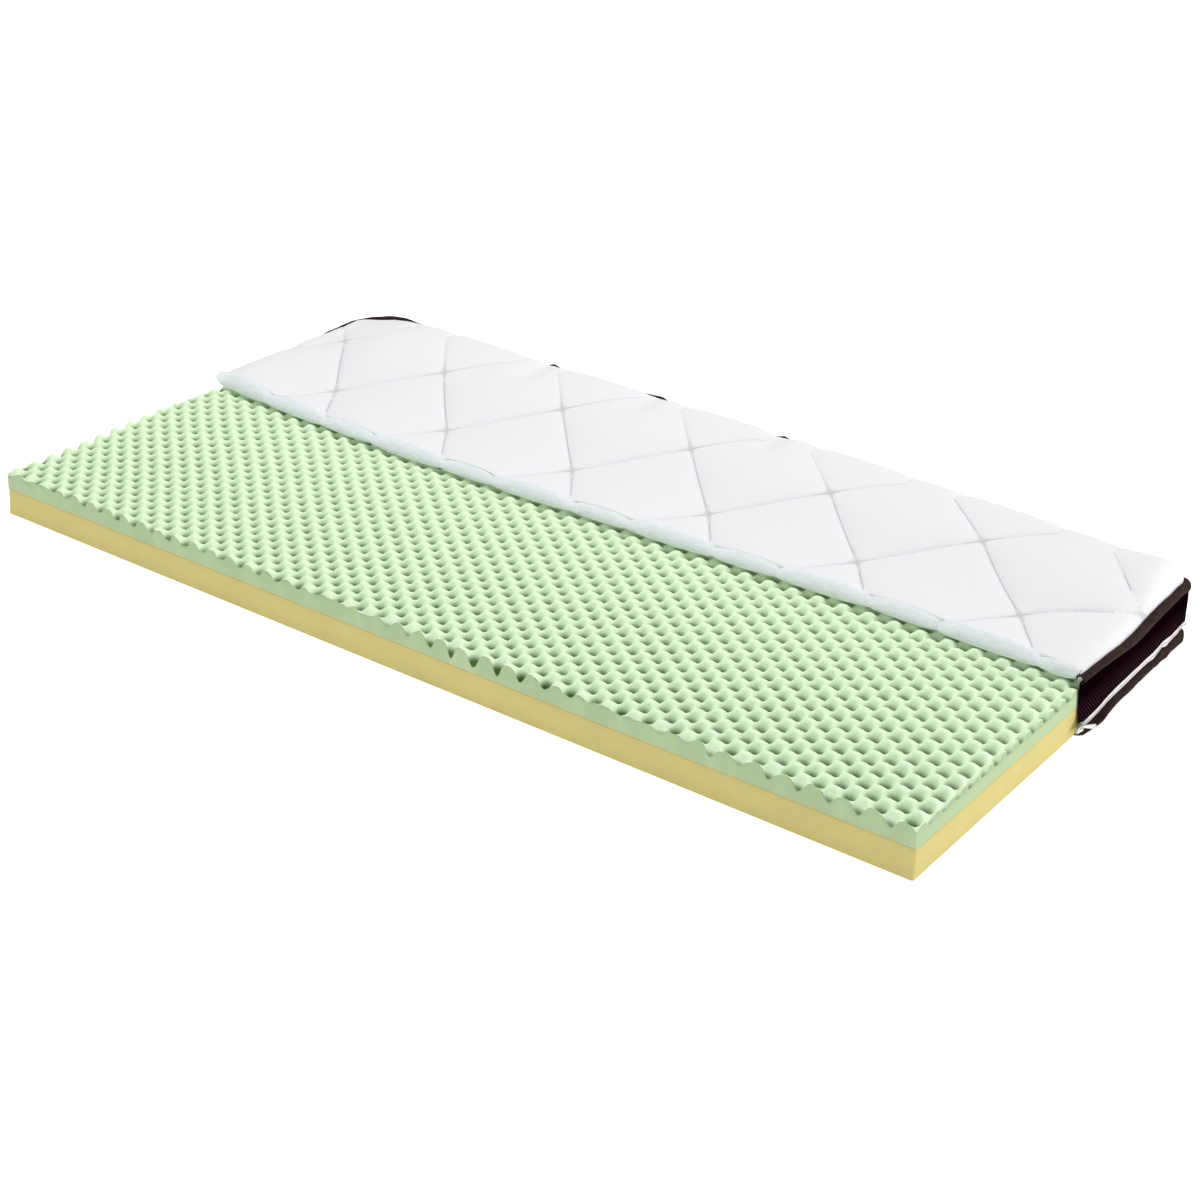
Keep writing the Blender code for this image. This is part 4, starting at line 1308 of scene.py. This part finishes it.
class TOPPER_OT_stage(Operator):
    """Adds the floor, the studio light and the camera"""

    bl_idname = "topper.stage"
    bl_label = "Floor, light and camera"

    def execute(self, context):
        stage = context.scene.topper_stage
        bpy.ops.mesh.primitive_plane_add(size=FLOOR_SIZE, location=(0.0, 0.0, FLOOR_Z))
        floor = context.object
        floor.name = "floor"
        floor.data.materials.append(matt_paper("background_paper", stage.floor))
        world = bpy.data.worlds.new("studio")
        context.scene.world = world
        world.use_nodes = True
        surround = world.node_tree.nodes["Background"].inputs
        surround["Color"].default_value = (1.0, 1.0, 1.0, 1.0)
        surround["Strength"].default_value = stage.sky
        self.add_light("top_light", *TOP_LIGHT, stage.key)
        self.add_light("side_light", *SIDE_LIGHT, stage.side)
        self.add_camera(context.scene)
        context.scene.view_settings.view_transform = "Standard"
        return {"FINISHED"}

    def add_light(self, name, place, size, power):
        """A soft box that faces the topper."""
        lamp = bpy.data.lights.new(name, "AREA")
        lamp.size = size
        lamp.energy = power
        light = add_object(name, lamp)
        light.location = place
        light.rotation_euler = (-Vector(place)).to_track_quat("-Z", "Y").to_euler()

    def add_camera(self, scene):
        level = math.cos(CAMERA_DIP)
        ahead = (math.cos(CAMERA_HEADING) * level, math.sin(CAMERA_HEADING) * level, -math.sin(CAMERA_DIP))
        forward = Vector(ahead)
        right = forward.cross(Vector((0, 0, 1))).normalized()
        up = right.cross(forward)
        across = right * math.cos(CAMERA_ROLL) + up * math.sin(CAMERA_ROLL)
        above = up * math.cos(CAMERA_ROLL) - right * math.sin(CAMERA_ROLL)
        turn = Matrix((across, above, -forward)).transposed()
        data = bpy.data.cameras.new("camera")
        data.lens = CAMERA_LENS
        data.sensor_width = CAMERA_SENSOR
        camera = add_object("camera", data)
        camera.matrix_world = Matrix.Translation(CAMERA_PLACE) @ turn.to_4x4()
        scene.camera = camera


OPERATORS = (
    TOPPER_OT_foam_slab,
    TOPPER_OT_foam_crate,
    TOPPER_OT_quilted_cover,
    TOPPER_OT_quilt_thread,
    TOPPER_OT_binding,
    TOPPER_OT_mesh_band,
    TOPPER_OT_zip,
    TOPPER_OT_lower_strip,
    TOPPER_OT_bottom_panel,
    TOPPER_OT_stage,
)
GROUPS = {
    "topper_foam": TopperFoam,
    "topper_cover": TopperCover,
    "topper_border": TopperBorder,
    "topper_stage": TopperStage,
}


class TOPPER_PT_sidebar(Panel):
    """Lists the sizes, the colours and the pieces."""

    bl_idname = "TOPPER_PT_sidebar"
    bl_label = "Mattress topper"
    bl_space_type = "VIEW_3D"
    bl_region_type = "UI"
    bl_category = "Topper"

    def draw(self, context):
        for name, group in GROUPS.items():
            box = self.layout.box()
            box.label(text=group.__doc__)
            for prop in group.__annotations__:
                box.prop(getattr(context.scene, name), prop)
        for operator in OPERATORS:
            self.layout.operator(operator.bl_idname)


CLASSES = (*GROUPS.values(), *OPERATORS, TOPPER_PT_sidebar)


def register():
    for kind in CLASSES:
        bpy.utils.register_class(kind)
    for name, group in GROUPS.items():
        setattr(bpy.types.Scene, name, PointerProperty(type=group))


def unregister():
    for name in GROUPS:
        delattr(bpy.types.Scene, name)
    for kind in reversed(CLASSES):
        bpy.utils.unregister_class(kind)


def main():
    register()
    for operator in OPERATORS:
        group, name = operator.bl_idname.split(".")
        getattr(getattr(bpy.ops, group), name)()


if __name__ == "__main__":
    main()
